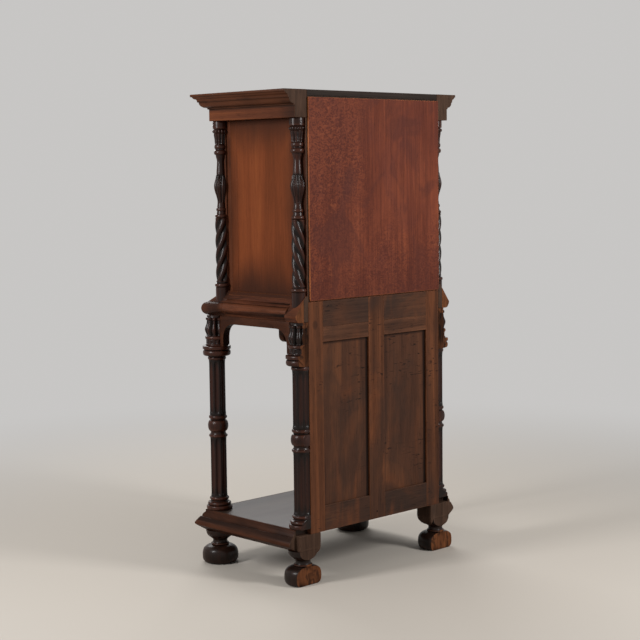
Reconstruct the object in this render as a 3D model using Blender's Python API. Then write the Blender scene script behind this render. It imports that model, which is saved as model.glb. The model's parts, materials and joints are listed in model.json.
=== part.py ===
"""Renaissance-revival cocktail cabinet: a closed cupboard over a waist drawer, on a columned stand.

Metres, +Z up. The front faces -Y and the origin lies on the floor, under the middle of the cabinet.
Sizes run from three places: x from the middle, depth forwards from the flat back, z from the floor.
"""

import math

import bmesh
import bpy
from mathutils import Matrix, Vector

for old_object in list(bpy.data.objects):
    bpy.data.objects.remove(old_object, do_unlink=True)

# Clearances
GAP = 0.0003
MITRE_GAP = 0.00045
DRAWER_GAP = 0.0010
DOOR_GAP = 0.0030
DOOR_HEAD_GAP = 0.0030

# Overall, measured at the cornice's top and the nose of the base moulding
TOTAL_HEIGHT = 1.500
BASE_HALF_WIDTH = 0.367
BASE_DEPTH = 0.470

# Main heights
CORNICE_HEIGHT = 0.083
STAND_HEIGHT = 0.806
WAIST_HEIGHT = 0.078
SHELF_TOP = 0.174
BASE_RAIL_HEIGHT = 0.066
FRIEZE_BOTTOM = TOTAL_HEIGHT - CORNICE_HEIGHT
WAIST_BOTTOM = STAND_HEIGHT
WAIST_TOP = STAND_HEIGHT + WAIST_HEIGHT
BASE_BOTTOM = SHELF_TOP - BASE_RAIL_HEIGHT

# Base
BASE_RAIL = 0.028
SHELF_THICK = 0.018
BASE_INNER_X = BASE_HALF_WIDTH - BASE_RAIL
BASE_INNER_DEPTH = BASE_DEPTH - BASE_RAIL
BASE_RUN_REAR = 0.020

# Legs: feet and lower columns share their axes
LEG_SIDE_INSET = 0.0625
LEG_FRONT_INSET = 0.053
LEG_X = BASE_HALF_WIDTH - LEG_SIDE_INSET
LEG_FRONT = BASE_DEPTH - LEG_FRONT_INSET
LEG_REAR = 0.0265
FOOT_RADIUS = 0.059
FOOT_BLOCK = 0.086
FOOT_CUP = 0.042
FOOT_NECK = 0.0222
REAR_BLOCK_DEPTH = 0.0620
FOOT_SIDES = 18

# Lower columns
SHAFT_RADIUS = 0.0263
SHAFT_FLUTES = 8
FLUTE_DEPTH = 0.0030
KNOP_RADIUS = 0.0332
KNOP_SHARE = 0.4328
KNOP_HEIGHT = SHELF_TOP + KNOP_SHARE * (WAIST_BOTTOM - SHELF_TOP)
ABACUS_RADIUS = 0.0452
CAPITAL_HEIGHT = 0.100
ABACUS_TOP = WAIST_BOTTOM - CAPITAL_HEIGHT
CAPITAL_RADIUS = 0.0350
CAPITAL_LOBE = 0.0035

# Aprons under the waist
APRON_THICK = 0.022
APRON_OUT = 0.013
APRON_HEIGHT = 0.026
ARCH_CROWN = WAIST_BOTTOM - APRON_HEIGHT
ARCH_RADIUS = 0.047
ARCH_INSET = 0.047
DROP_HALF_WIDTH = 0.023
DROP_HEIGHT = 0.116
DROP_BOTTOM = WAIST_BOTTOM - DROP_HEIGHT
APRON_END = 0.012

# Back frame of the stand
FRAME_THICK = 0.020
FRAME_BOTTOM = SHELF_TOP - SHELF_THICK
STILE_TO_LEG = 0.0109
STILE_OUTER = LEG_X - STILE_TO_LEG
STILE_WIDTH = 0.060
MUNTIN_HALF = 0.0345
BOTTOM_RAIL_HEIGHT = 0.079
MID_RAIL_HEIGHT = 0.046
TOP_RAIL_DROP = 0.019
BOTTOM_RAIL_TOP = FRAME_BOTTOM + BOTTOM_RAIL_HEIGHT
MID_RAIL_TOP = WAIST_BOTTOM - TOP_RAIL_DROP
MID_RAIL_BOTTOM = MID_RAIL_TOP - MID_RAIL_HEIGHT
PANEL_THICK = 0.007
PANEL_SET = 0.0075
GROOVE = 0.006
GROOVE_SIDE_GAP = 0.0003
GROOVE_END_GAP = 0.0005
LAP_DEPTH = 0.0100

# Cupboard case
CASE_OVER_LEG = 0.0085
SIDE_RECESS = 0.016
SIDE_THICK = 0.010
SIDE_REBATE_GAP = 0.0007
FRONT_STILE_WIDTH = 0.0225
FRONT_STILE_THICK = 0.030
CASE_SET_BACK = 0.0735
WAIST_CASE = LEG_X + CASE_OVER_LEG
SIDE_OUTER = WAIST_CASE - SIDE_RECESS
SIDE_INNER = SIDE_OUTER - SIDE_THICK
SIDE_REBATE_X = STILE_OUTER + SIDE_REBATE_GAP
FRONT_STILE_INNER = SIDE_OUTER - FRONT_STILE_WIDTH
FRONT_STILE_FACE = LEG_FRONT - CASE_SET_BACK
FRONT_STILE_BACK = FRONT_STILE_FACE - FRONT_STILE_THICK
STILE_BEAD_OUT = 0.007
STILE_BEAD_WIDTH = 0.008
WAIST_BOARD_THICK = 0.018
DUST_BOARD_THICK = 0.012
SHELF_SHARE = 0.518
SHELF_HEIGHT = WAIST_TOP + SHELF_SHARE * (FRIEZE_BOTTOM - WAIST_TOP)
CUPBOARD_SHELF_THICK = 0.016
HOUSING = 0.004
TOP_BOARD_THICK = 0.018
BACK_RAIL_THICK = 0.020

# Waist mouldings
WAIST_OUT = 0.0342
WAIST_NOSE = 0.020
WAIST_SLOPE = 1.365
WAIST_TORUS = 0.0140
WAIST_TORUS_U = 0.0175
WAIST_TORUS_Z = 0.0275
WAIST_RUN_TOP = 0.0545
WAIST_RUN_FILLET = 0.0087
WAIST_RUN_RISE = WAIST_RUN_TOP + WAIST_RUN_FILLET * WAIST_SLOPE
MOULD_OVER_COLUMN = 0.0356
BLOCK_HALF = 0.024
BLOCK_OVERLAP = 0.002
BLOCK_TO_STILE = 0.0018

# Upper columns
COLUMN_OVER_CASE = 0.0106
COLUMN_SET_BACK = 0.0393
COLUMN_X = SIDE_OUTER + COLUMN_OVER_CASE
COLUMN_FRONT = LEG_FRONT - COLUMN_SET_BACK
COLUMN_REAR = 0.0257
TURNED_HEIGHT = 0.3035
TWIST_RADIUS = 0.0210
TWIST_DEPTH = 0.0055
TWIST_STARTS = 4
TWIST_TURNS = 1
TWIST_STEPS = 12
TWIST_SIDES = 16

# Frieze and cornice
FRIEZE_OVER_CASE = 0.043
FRIEZE_OVER_COLUMN = 0.0143
FRIEZE_HALF_WIDTH = SIDE_OUTER + FRIEZE_OVER_CASE
FRIEZE_DEPTH = COLUMN_FRONT + FRIEZE_OVER_COLUMN
FRIEZE_THICK = 0.050
CORNICE_OUT = 0.042

# Planted back board
BACK_BOARD_INSET = 0.007
BACK_BOARD_THICK = 0.006
BACK_BOARD_BELOW_WAIST = 0.015
BACK_BOARD_BELOW_TOP = 0.0223
BACK_BOARD_HALF = SIDE_OUTER - BACK_BOARD_INSET
BACK_BOARD_BOTTOM = WAIST_TOP - BACK_BOARD_BELOW_WAIST
BACK_BOARD_TOP = TOTAL_HEIGHT - BACK_BOARD_BELOW_TOP

# Door
DOOR_HALF = FRONT_STILE_INNER - DOOR_GAP
DOOR_SET_BACK = 0.001
DOOR_FACE = FRONT_STILE_FACE - DOOR_SET_BACK
DOOR_THICK = 0.022
DOOR_STILE = 0.060
DOOR_RAIL = 0.062
DOOR_PANEL_EDGE = 0.006
DOOR_PANEL_FIELD = 0.014
FIELD_MARGIN = 0.018
FIELD_BEVEL = 0.030

# Hinges: barrels stacked on a pin, at the left edge of the door
BARREL_RADIUS = 0.005
BARREL_HEIGHT = 0.030
BARREL_SIDES = 12
PIN_RADIUS = 0.0022
PIN_HEIGHT = 0.022
LEAF_THICK = 0.0010
LEAF_DEPTH = 0.020
HINGE_RISE = 0.098
HINGE_DROP = 0.129
HINGE_LOW = WAIST_TOP + DOOR_HEAD_GAP + HINGE_RISE
HINGE_HIGH = FRIEZE_BOTTOM - DOOR_HEAD_GAP - HINGE_DROP
HINGE_FACE_GAP = 0.0005
HINGE_X = -(DOOR_HALF + DOOR_GAP / 2)
HINGE_DEPTH = FRONT_STILE_FACE + HINGE_FACE_GAP + BARREL_RADIUS

# Lock
KEY_INSET = 0.028
KEY_BELOW_MIDDLE = 0.0055
KEY_X = DOOR_HALF - KEY_INSET
KEY_HEIGHT = (WAIST_TOP + FRIEZE_BOTTOM) / 2 - KEY_BELOW_MIDDLE
KEY_RADIUS = 0.0030
KEY_REACH = 0.026
BIT_LENGTH = 0.0115
BOW_RADIUS = 0.013
BOW_BAR = 0.0026
BOLT_LENGTH = 0.0325
BOLT_HEIGHT = 0.012
BOLT_THICK = 0.007
BOLT_TRAVEL = 0.009
BOLT_LIFT = 0.013
MORTISE_BELOW = 0.020
MORTISE_BACK = 0.015
LOCK_DEPTH = DOOR_FACE - DOOR_THICK / 2
PLATE_RADIUS = 0.014
PLATE_THICK = 0.0015

# Drawer
DRAWER_SIDE = 0.012
DRAWER_BACK_AT = 0.040
DRAWER_HEAD_ROOM = 0.006
DRAWER_TOP = WAIST_TOP - WAIST_BOARD_THICK - DRAWER_HEAD_ROOM
DRAWER_BOTTOM_THICK = 0.006
DRAWER_BOTTOM_LIFT = 0.003
DRAWER_FRONT_SET_BACK = 0.032
DRAWER_FRONT_BACK = LEG_FRONT - DRAWER_FRONT_SET_BACK
PULL_RADIUS = 0.0095
PULL_LENGTH = 0.0235

BACK_Y = (BASE_DEPTH - BACK_BOARD_THICK - GAP) / 2
SIDES = (("left", -1), ("right", 1))


def at(x, depth, z):
    """World point for an offset from the middle, a depth from the back plane and a height."""
    return Vector((x, BACK_Y - depth, z))


# Materials

def finish(name, colour, roughness, metallic=0.0):
    material = bpy.data.materials.new(name)
    material.use_nodes = True
    shader = material.node_tree.nodes["Principled BSDF"]
    shader.inputs["Base Color"].default_value = (*colour, 1.0)
    shader.inputs["Roughness"].default_value = roughness
    shader.inputs["Metallic"].default_value = metallic
    return material


DARK_WALNUT = finish("dark_walnut", (0.050, 0.020, 0.011), 0.38)
CARVED_WALNUT = finish("carved_walnut", (0.028, 0.013, 0.009), 0.32)
SIDE_WALNUT = finish("side_walnut", (0.105, 0.038, 0.015), 0.40)
BACK_WALNUT = finish("back_walnut", (0.075, 0.031, 0.018), 0.55)
RED_OAK = finish("red_stained_oak", (0.135, 0.030, 0.018), 0.50)
INNER_OAK = finish("inner_oak", (0.230, 0.125, 0.060), 0.55)
BRASS = finish("brass", (0.560, 0.400, 0.160), 0.35, 1.0)
IRON = finish("iron", (0.120, 0.110, 0.100), 0.50, 1.0)


# Building helpers

def solid(name, bm, material, smooth=False):
    """Mesh object whose origin sits in the middle of its own box."""
    bmesh.ops.recalc_face_normals(bm, faces=bm.faces)
    low = Vector([min(v.co[i] for v in bm.verts) for i in range(3)])
    high = Vector([max(v.co[i] for v in bm.verts) for i in range(3)])
    middle = (low + high) / 2
    bmesh.ops.translate(bm, verts=bm.verts, vec=-middle)
    mesh = bpy.data.meshes.new(name)
    bm.to_mesh(mesh)
    bm.free()
    mesh.materials.append(material)
    if smooth:
        mesh.shade_smooth()
        mesh.set_sharp_from_angle(angle=math.radians(35))
    piece = bpy.data.objects.new(name, mesh)
    piece.location = middle
    bpy.context.scene.collection.objects.link(piece)
    return piece


def swept(name, first, last, material):
    """Solid between two matching outlines of world points."""
    bm = bmesh.new()
    rings = [[bm.verts.new(point) for point in ring] for ring in (first, last)]
    bm.faces.new(rings[0])
    bm.faces.new(reversed(rings[1]))
    count = len(first)
    for i in range(count):
        j = (i + 1) % count
        bm.faces.new((rings[0][j], rings[0][i], rings[1][i], rings[1][j]))
    return solid(name, bm, material)


def along_x(name, outline, low, high, material):
    """Outline of (depth, z) points pushed along x."""
    first = [at(low, depth, z) for depth, z in outline]
    last = [at(high, depth, z) for depth, z in outline]
    return swept(name, first, last, material)


def along_depth(name, outline, low, high, material):
    """Outline of (x, z) points pushed from one depth to another."""
    first = [at(x, low, z) for x, z in outline]
    last = [at(x, high, z) for x, z in outline]
    return swept(name, first, last, material)


def along_z(name, outline, low, high, material):
    """Outline of (x, depth) points pushed upwards."""
    first = [at(x, depth, low) for x, depth in outline]
    last = [at(x, depth, high) for x, depth in outline]
    return swept(name, first, last, material)


def board(name, x, depth, z, material):
    """Plain board, from pairs of x, depth and z."""
    outline = [(x[0], depth[0]), (x[1], depth[0]), (x[1], depth[1]), (x[0], depth[1])]
    return along_z(name, outline, z[0], z[1], material)


def helper(piece):
    """Marks a shape that only cuts or joins."""
    piece.hide_render = True
    piece.display_type = "WIRE"
    return piece


def boolean(piece, other, operation):
    modifier = piece.modifiers.new(operation.lower(), "BOOLEAN")
    modifier.operation = operation
    modifier.solver = "EXACT"
    modifier.object = helper(other)


def cut(piece, other):
    boolean(piece, other, "DIFFERENCE")


def join(piece, other):
    boolean(piece, other, "UNION")


def arc(u, z, radius, start, end, steps):
    """Points on an arc, angles in degrees from the first axis."""
    points = []
    for i in range(steps + 1):
        angle = math.radians(start + (end - start) * i / steps)
        points.append((u + radius * math.cos(angle), z + radius * math.sin(angle)))
    return points


def mirrored(outline, side):
    return [(side * first, second) for first, second in outline]


def turned(name, rings, x, depth, sides, material):
    """Lathe work on an upright axis. A ring is (radius, z, groove, turn): the groove is how far its
    valleys lie under its ridges, and the turn rotates it, in radians. Ridges and valleys share the sides
    out evenly, so the pattern is given by the list of weights in the ring."""
    bm = bmesh.new()
    centre = at(x, depth, 0.0)
    loops = []
    for radius, z, weights, turn in rings:
        loop = []
        for k in range(sides):
            angle = math.tau * k / sides + turn
            reach = radius - weights[k % len(weights)]
            offset = Vector((reach * math.cos(angle), reach * math.sin(angle), z))
            loop.append(bm.verts.new(centre + offset))
        loops.append(loop)
    for low, high in zip(loops, loops[1:]):
        for k in range(sides):
            n = (k + 1) % sides
            bm.faces.new((low[k], low[n], high[n], high[k]))
    bm.faces.new(reversed(loops[0]))
    bm.faces.new(loops[-1])
    return solid(name, bm, material, smooth=True)


def plain(points):
    """Rings without any pattern, from (radius, z) points."""
    return [(radius, z, (0.0,), 0.0) for radius, z in points]


def behind_back(name):
    """Block that saws a turning flat on the back plane."""
    wide = 2 * BASE_HALF_WIDTH
    return board(name, (-wide, wide), (-BASE_DEPTH, 0.0), (-BASE_BOTTOM, TOTAL_HEIGHT), BACK_WALNUT)


# Feet

def foot(end, depth, label, side):
    bun = FOOT_RADIUS
    shares = [(bun - 0.013, 0.0), (bun - 0.005, 0.056), (bun, 0.167), (bun, 0.279), (bun - 0.004, 0.390)]
    shares += [(bun - 0.012, 0.470), (bun - 0.025, 0.530), (0.0285, 0.545), (0.0285, 0.585)]
    shares += [(FOOT_NECK + 0.001, 0.610), (FOOT_NECK, 0.660), (FOOT_NECK + 0.001, 0.720)]
    shares += [(FOOT_CUP - 0.009, 0.790), (FOOT_CUP - 0.003, 0.870), (FOOT_CUP, 0.960), (FOOT_CUP, 1.0)]
    profile = [(radius, share * (BASE_BOTTOM - GAP)) for radius, share in shares]
    name = f"foot_{end}_{label}"
    piece = turned(name, plain(profile), side * LEG_X, depth, FOOT_SIDES, CARVED_WALNUT)
    outer = BASE_INNER_X - GAP
    x = sorted((side * outer, side * (outer - FOOT_BLOCK)))
    front = BASE_INNER_DEPTH - GAP
    reach = (front - FOOT_BLOCK, front) if end == "front" else (0.0, REAR_BLOCK_DEPTH)
    top = SHELF_TOP - SHELF_THICK - GAP
    join(piece, board(f"block_{end}_{label}", x, reach, (BASE_BOTTOM - 0.004, top), CARVED_WALNUT))
    if end == "rear":
        cut(piece, behind_back(f"saw_foot_{label}"))


for label, side in SIDES:
    foot("front", LEG_FRONT, label, side)
    foot("rear", LEG_REAR, label, side)


# Base: shelf and moulded rails

def base_profile():
    """Section of the base moulding as (u, z), u outwards from the rail's inner face."""
    nose = BASE_RAIL
    top = SHELF_TOP
    outline = [(0.0, BASE_BOTTOM), (0.004, BASE_BOTTOM)]
    outline += [(nose - 0.016, BASE_BOTTOM + 0.006), (nose - 0.005, BASE_BOTTOM + 0.014)]
    outline += [(nose, BASE_BOTTOM + 0.018), (nose, BASE_BOTTOM + 0.024)]
    outline += [(nose - 0.004, top - 0.035), (nose - 0.013, top - 0.023), (nose - 0.0170, top - 0.022)]
    outline += [(nose - 0.0185, top - 0.015), (nose - 0.0235, top - 0.009), (nose - 0.0255, top - 0.007)]
    outline += [(nose - 0.0255, top), (0.0, top)]
    return outline


def side_moulding(name, profile, inner_x, inner_depth, side, rear):
    """Side run from a depth near the back plane to the front mitre."""
    first = [at(side * (inner_x + u), rear, z) for u, z in profile]
    last = [at(side * (inner_x + u), inner_depth + u - MITRE_GAP, z) for u, z in profile]
    return swept(name, first, last, DARK_WALNUT)


def front_moulding(name, profile, inner_x, inner_depth):
    """Front run, mitred at both ends."""
    first = [at(-(inner_x + u), inner_depth + u, z) for u, z in profile]
    last = [at(inner_x + u, inner_depth + u, z) for u, z in profile]
    return swept(name, first, last, DARK_WALNUT)


front_moulding("base_moulding_front", base_profile(), BASE_INNER_X, BASE_INNER_DEPTH)
for label, side in SIDES:
    name = f"base_moulding_{label}"
    side_moulding(name, base_profile(), BASE_INNER_X, BASE_INNER_DEPTH, side, BASE_RUN_REAR)
shelf_x = BASE_INNER_X - GAP
shelf_depth = (FRAME_THICK + GAP, BASE_INNER_DEPTH - GAP)
board("base_shelf", (-shelf_x, shelf_x), shelf_depth, (SHELF_TOP - SHELF_THICK, SHELF_TOP), DARK_WALNUT)


# Lower columns

def lower_column(end, depth, label, side):
    fluted = (0.0, FLUTE_DEPTH)
    lobed = (0.0, CAPITAL_LOBE)
    shaft = SHAFT_RADIUS
    foot_z = SHELF_TOP + GAP
    top_z = WAIST_BOTTOM - GAP
    ring_low = KNOP_HEIGHT - 0.038
    ring_high = KNOP_HEIGHT + 0.038
    neck = ABACUS_TOP - 0.048

    def flutes(low, high):
        runout = 0.006
        ends = [(shaft, low, (0.0,), 0.0), (shaft, low + runout, fluted, 0.0)]
        return ends + [(shaft, high - runout, fluted, 0.0), (shaft, high, (0.0,), 0.0)]

    rings = plain([(0.0395, foot_z), (0.0417, foot_z + 0.004), (0.0417, foot_z + 0.010)])
    rings += plain([(0.0345, foot_z + 0.0132), (0.0375, foot_z + 0.0170), (0.0375, foot_z + 0.0225)])
    rings += plain([(0.0269, foot_z + 0.0283), (0.0312, foot_z + 0.0330), (0.0312, foot_z + 0.0385)])
    rings += flutes(foot_z + 0.0425, ring_low)
    rings += plain([(0.0300, ring_low + 0.002), (0.0300, ring_low + 0.008), (0.0254, ring_low + 0.014)])
    for rise, share in ((-0.015, 0.90), (0.0, 1.0), (0.015, 0.90)):
        rings += plain([(KNOP_RADIUS * share, KNOP_HEIGHT + rise)])
    rings += plain([(0.0254, ring_high - 0.014), (0.0293, ring_high - 0.008), (0.0293, ring_high - 0.002)])
    rings += flutes(ring_high, neck)
    rings += plain([(0.0292, neck + 0.004), (0.0292, neck + 0.011), (0.0270, neck + 0.015)])
    rings += plain([(ABACUS_RADIUS - 0.007, ABACUS_TOP - 0.030), (ABACUS_RADIUS, ABACUS_TOP - 0.021)])
    rings += plain([(ABACUS_RADIUS - 0.002, ABACUS_TOP - 0.0120), (ABACUS_RADIUS, ABACUS_TOP - 0.004)])
    rings += plain([(CAPITAL_RADIUS - 0.004, ABACUS_TOP)])
    leaf_height = top_z - ABACUS_TOP
    for share, inset in ((0.12, 0.004), (0.34, 0.003), (0.56, 0.0), (0.68, 0.003), (0.84, 0.0005)):
        rings.append((CAPITAL_RADIUS - inset, ABACUS_TOP + share * leaf_height, lobed, 0.0))
    rings += plain([(CAPITAL_RADIUS - 0.001, top_z)])
    name = f"lower_column_{end}_{label}"
    piece = turned(name, rings, side * LEG_X, depth, 2 * SHAFT_FLUTES, CARVED_WALNUT)
    if end == "rear":
        cut(piece, behind_back(f"saw_lower_{label}"))
        x = sorted((side * (STILE_OUTER + GAP), side * (STILE_OUTER - STILE_WIDTH)))
        rebate = (-FRAME_THICK, FRAME_THICK + GAP)
        cut(piece, board(f"rebate_lower_{label}", x, rebate, (BASE_BOTTOM, WAIST_TOP), CARVED_WALNUT))


for label, side in SIDES:
    lower_column("front", LEG_FRONT, label, side)
    lower_column("rear", LEG_REAR, label, side)


# Arched aprons

def arch(low, high, bottom):
    """Lower edge from one leg to the other: upright ends and quarter-round corners."""
    spring = ARCH_CROWN - ARCH_RADIUS
    edge = [(low, bottom)]
    edge += arc(low + ARCH_RADIUS, spring, ARCH_RADIUS, 180, 90, 6)
    edge += arc(high - ARCH_RADIUS, spring, ARCH_RADIUS, 90, 0, 6)
    return edge + [(high, bottom)]


def column_cutter(name, x, depth):
    """Round clearance for a capital."""
    sides = 2 * SHAFT_FLUTES
    outline = arc(x, depth, CAPITAL_RADIUS + 1.5 * GAP, 0, 360 - 360 / sides, sides - 1)
    return along_z(name, outline, ABACUS_TOP - CAPITAL_HEIGHT, WAIST_TOP, DARK_WALNUT)


def side_apron(label, side):
    low = LEG_REAR + APRON_END
    high = LEG_FRONT - APRON_END
    bottom = ABACUS_TOP + GAP
    top = WAIST_BOTTOM - GAP
    outline = [(low, bottom)] + arch(LEG_REAR + ARCH_INSET, LEG_FRONT - ARCH_INSET, bottom)
    outline += [(high, bottom), (high, top), (low, top)]
    outer = LEG_X + APRON_OUT
    x = sorted((side * outer, side * (outer - APRON_THICK)))
    piece = along_x(f"apron_{label}", outline, x[0], x[1], DARK_WALNUT)
    cut(piece, column_cutter(f"round_rear_{label}", side * LEG_X, LEG_REAR))
    cut(piece, column_cutter(f"round_front_{label}", side * LEG_X, LEG_FRONT))


def front_apron():
    end = LEG_X - APRON_END
    spring = LEG_X - ARCH_INSET
    bottom = ABACUS_TOP + GAP
    top = WAIST_BOTTOM - GAP
    drop = DROP_HALF_WIDTH
    fillet = 0.018
    edge = [(-end, bottom), (-spring, bottom)]
    edge += arc(-spring + ARCH_RADIUS, ARCH_CROWN - ARCH_RADIUS, ARCH_RADIUS, 180, 90, 6)
    edge += arc(-drop - fillet, ARCH_CROWN - fillet, fillet, 90, 0, 3)
    edge += arc(0.0, DROP_BOTTOM + drop, drop, 180, 270, 5)
    right = [(-x, z) for x, z in reversed(edge)]
    outline = edge + right[1:] + [(end, top), (-end, top)]
    outer = LEG_FRONT + APRON_OUT
    piece = along_depth("apron_front", outline, outer - APRON_THICK, outer, DARK_WALNUT)
    for label, side in SIDES:
        cut(piece, column_cutter(f"round_apron_{label}", side * LEG_X, LEG_FRONT))


front_apron()
for label, side in SIDES:
    side_apron(label, side)


# Back frame and panels of the stand

FRAME_TOP = WAIST_TOP - WAIST_BOARD_THICK - GAP
STILE_INNER = STILE_OUTER - STILE_WIDTH
GROOVE_NEAR = PANEL_SET - GROOVE_SIDE_GAP
GROOVE_FAR = PANEL_SET + PANEL_THICK + GROOVE_SIDE_GAP


def grooved_edge(edge, inwards):
    """Outline points of a grooved edge, from the near face to the far face."""
    floor = edge + inwards * GROOVE
    return [(edge, 0.0), (edge, GROOVE_NEAR), (floor, GROOVE_NEAR), (floor, GROOVE_FAR), (edge, GROOVE_FAR),
            (edge, FRAME_THICK)]


def back_frame():
    for label, side in SIDES:
        outline = grooved_edge(STILE_INNER, 1) + [(STILE_OUTER, FRAME_THICK), (STILE_OUTER, 0.0)]
        along_z(f"back_stile_{label}", mirrored(outline, side), FRAME_BOTTOM, FRAME_TOP, BACK_WALNUT)
    outline = grooved_edge(MUNTIN_HALF, -1) + list(reversed(mirrored(grooved_edge(MUNTIN_HALF, -1), -1)))
    muntin = along_z("back_muntin", outline, FRAME_BOTTOM, FRAME_TOP, BACK_WALNUT)

    bottom = [(depth, z) for z, depth in grooved_edge(BOTTOM_RAIL_TOP, -1)]
    middle = [(depth, z) for z, depth in grooved_edge(MID_RAIL_BOTTOM, 1)]
    top_low = MID_RAIL_TOP + GAP
    bottom += [(FRAME_THICK, FRAME_BOTTOM), (0.0, FRAME_BOTTOM)]
    middle += [(FRAME_THICK, MID_RAIL_TOP), (0.0, MID_RAIL_TOP)]
    top = [(0.0, top_low), (FRAME_THICK, top_low), (FRAME_THICK, FRAME_TOP), (0.0, FRAME_TOP)]
    rails = (
        ("back_bottom_rail", FRAME_BOTTOM, BOTTOM_RAIL_TOP, bottom),
        ("back_mid_rail", MID_RAIL_BOTTOM, MID_RAIL_TOP, middle),
        ("back_top_rail", top_low, FRAME_TOP, top),
    )
    reach = STILE_INNER - GAP
    for name, low, high, section in rails:
        rail = along_x(name, section, -reach, reach, BACK_WALNUT)
        lap = (-(MUNTIN_HALF + GAP), MUNTIN_HALF + GAP)
        cut(rail, board(f"lap_{name}", lap, (-0.01, LAP_DEPTH), (low - 0.01, high + 0.01), BACK_WALNUT))
        under = low - GAP if low > FRAME_BOTTOM else low - 0.01
        over = high + GAP if high < FRAME_TOP else high + 0.01
        halving = (LAP_DEPTH - GAP, 0.05)
        cut(muntin, board(f"halving_{name}", (-0.1, 0.1), halving, (under, over), BACK_WALNUT))

    for label, side in SIDES:
        near = MUNTIN_HALF - GROOVE + GROOVE_END_GAP
        far = STILE_INNER + GROOVE - GROOVE_END_GAP
        z = (BOTTOM_RAIL_TOP - GROOVE + GROOVE_END_GAP, MID_RAIL_BOTTOM + GROOVE - GROOVE_END_GAP)
        x = sorted((side * near, side * far))
        board(f"back_panel_{label}", x, (PANEL_SET, PANEL_SET + PANEL_THICK), z, BACK_WALNUT)


back_frame()


# Waist mouldings, waist board and dust board

MOULD_X = WAIST_CASE + GAP
MOULD_DEPTH = COLUMN_FRONT + MOULD_OVER_COLUMN
BLOCK_REAR_END = COLUMN_REAR + BLOCK_HALF
BLOCK_FRONT_START = FRONT_STILE_FACE + BLOCK_TO_STILE
BLOCK_INNER_X = COLUMN_X - BLOCK_HALF


def run_profile(low, high):
    """Front line of the waist moulding as (u, rise), between two rises above the waist's underside."""
    line = [(0.0067, 0.0), (0.0087, 0.0055)]
    line += arc(WAIST_TORUS_U, WAIST_TORUS_Z, WAIST_TORUS, -75, 75, 6)
    line += [(0.0167, 0.0430), (0.0187, 0.0450), (0.0067, 0.0525)]
    line += [(WAIST_RUN_FILLET, WAIST_RUN_TOP), (0.0, WAIST_RUN_RISE)]
    kept = [point for point in line if low < point[1] < high]

    def u_at(rise):
        for first, second in zip(line, line[1:]):
            if first[1] <= rise <= second[1]:
                return first[0] + (second[0] - first[0]) * (rise - first[1]) / (second[1] - first[1])
        return line[-1][0]

    return [(u_at(low), low)] + kept + [(u_at(high), high)]


def block_profile(origin, inner):
    """Section of a corner block as (offset, z): upright inside, sloped on top, with a rounded nose."""
    nose = origin + WAIST_OUT
    apex = nose - (WAIST_HEIGHT - WAIST_NOSE) / WAIST_SLOPE
    outline = [(inner, WAIST_BOTTOM), (nose - 0.0147, WAIST_BOTTOM), (nose - 0.0072, WAIST_BOTTOM + 0.003)]
    outline += [(nose - 0.0010, WAIST_BOTTOM + 0.014), (nose, WAIST_BOTTOM + WAIST_NOSE)]
    if inner < apex:
        return outline + [(apex, WAIST_TOP), (inner, WAIST_TOP)]
    return outline + [(inner, WAIST_TOP - (inner - apex) * WAIST_SLOPE)]


def waist_moulding(label, side):
    line = run_profile(0.0, WAIST_RUN_RISE - 0.0001)
    run = [(MOULD_X + u, WAIST_BOTTOM + rise) for u, rise in line]
    run += [(MOULD_X, run[-1][1]), (MOULD_X, WAIST_BOTTOM)]
    ends = (BLOCK_REAR_END - BLOCK_OVERLAP, BLOCK_FRONT_START + BLOCK_OVERLAP)
    name = f"waist_moulding_{label}"
    piece = along_depth(name, mirrored(run, side), ends[0], ends[1], DARK_WALNUT)
    rear = mirrored(block_profile(MOULD_X, MOULD_X), side)
    join(piece, along_depth(f"rear_block_{label}", rear, 0.0, BLOCK_REAR_END, DARK_WALNUT))
    across = mirrored(block_profile(MOULD_X, BLOCK_INNER_X), side)
    front = along_depth(f"front_block_{label}", across, BLOCK_FRONT_START, BASE_DEPTH, DARK_WALNUT)
    forwards = block_profile(MOULD_DEPTH, BLOCK_FRONT_START - 0.01)
    x = sorted((side * (BLOCK_INNER_X - 0.01), side * (BASE_HALF_WIDTH + 0.01)))
    boolean(front, along_x(f"front_slope_{label}", forwards, x[0], x[1], DARK_WALNUT), "INTERSECT")
    join(piece, front)


for label, side in SIDES:
    waist_moulding(label, side)

APEX_DEPTH = MOULD_DEPTH + WAIST_OUT - (WAIST_HEIGHT - WAIST_NOSE) / WAIST_SLOPE
APEX_X = MOULD_X + WAIST_OUT - (WAIST_HEIGHT - WAIST_NOSE) / WAIST_SLOPE
FRONT_INNER_X = BLOCK_INNER_X - GAP
LEDGE_LOW = WAIST_TOP - (WAIST_CASE - APEX_X) * WAIST_SLOPE


def waist_board():
    low = WAIST_TOP - WAIST_BOARD_THICK
    case = SIDE_INNER - GAP
    pinch = FRONT_STILE_INNER - GAP
    back = FRONT_STILE_BACK - GAP
    face = FRONT_STILE_FACE + GAP
    nose = APEX_DEPTH + WAIST_BOARD_THICK / WAIST_SLOPE
    half = [(case, 0.0), (case, back), (pinch, back), (pinch, face)]
    half += [(FRONT_INNER_X, face), (FRONT_INNER_X, nose)]
    outline = half + [(-x, depth) for x, depth in reversed(half)]
    piece = along_z("waist_board", outline, low, WAIST_TOP, DARK_WALNUT)
    over = 0.02
    slope = [(APEX_DEPTH - over / WAIST_SLOPE, WAIST_TOP + over), (nose + 0.05, WAIST_TOP + over)]
    slope += [(nose + 0.05, WAIST_TOP - (nose + 0.05 - APEX_DEPTH) * WAIST_SLOPE)]
    wide = BASE_HALF_WIDTH + 0.03
    cut(piece, along_x("slope_waist_board", slope, -wide, wide, DARK_WALNUT))


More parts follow.
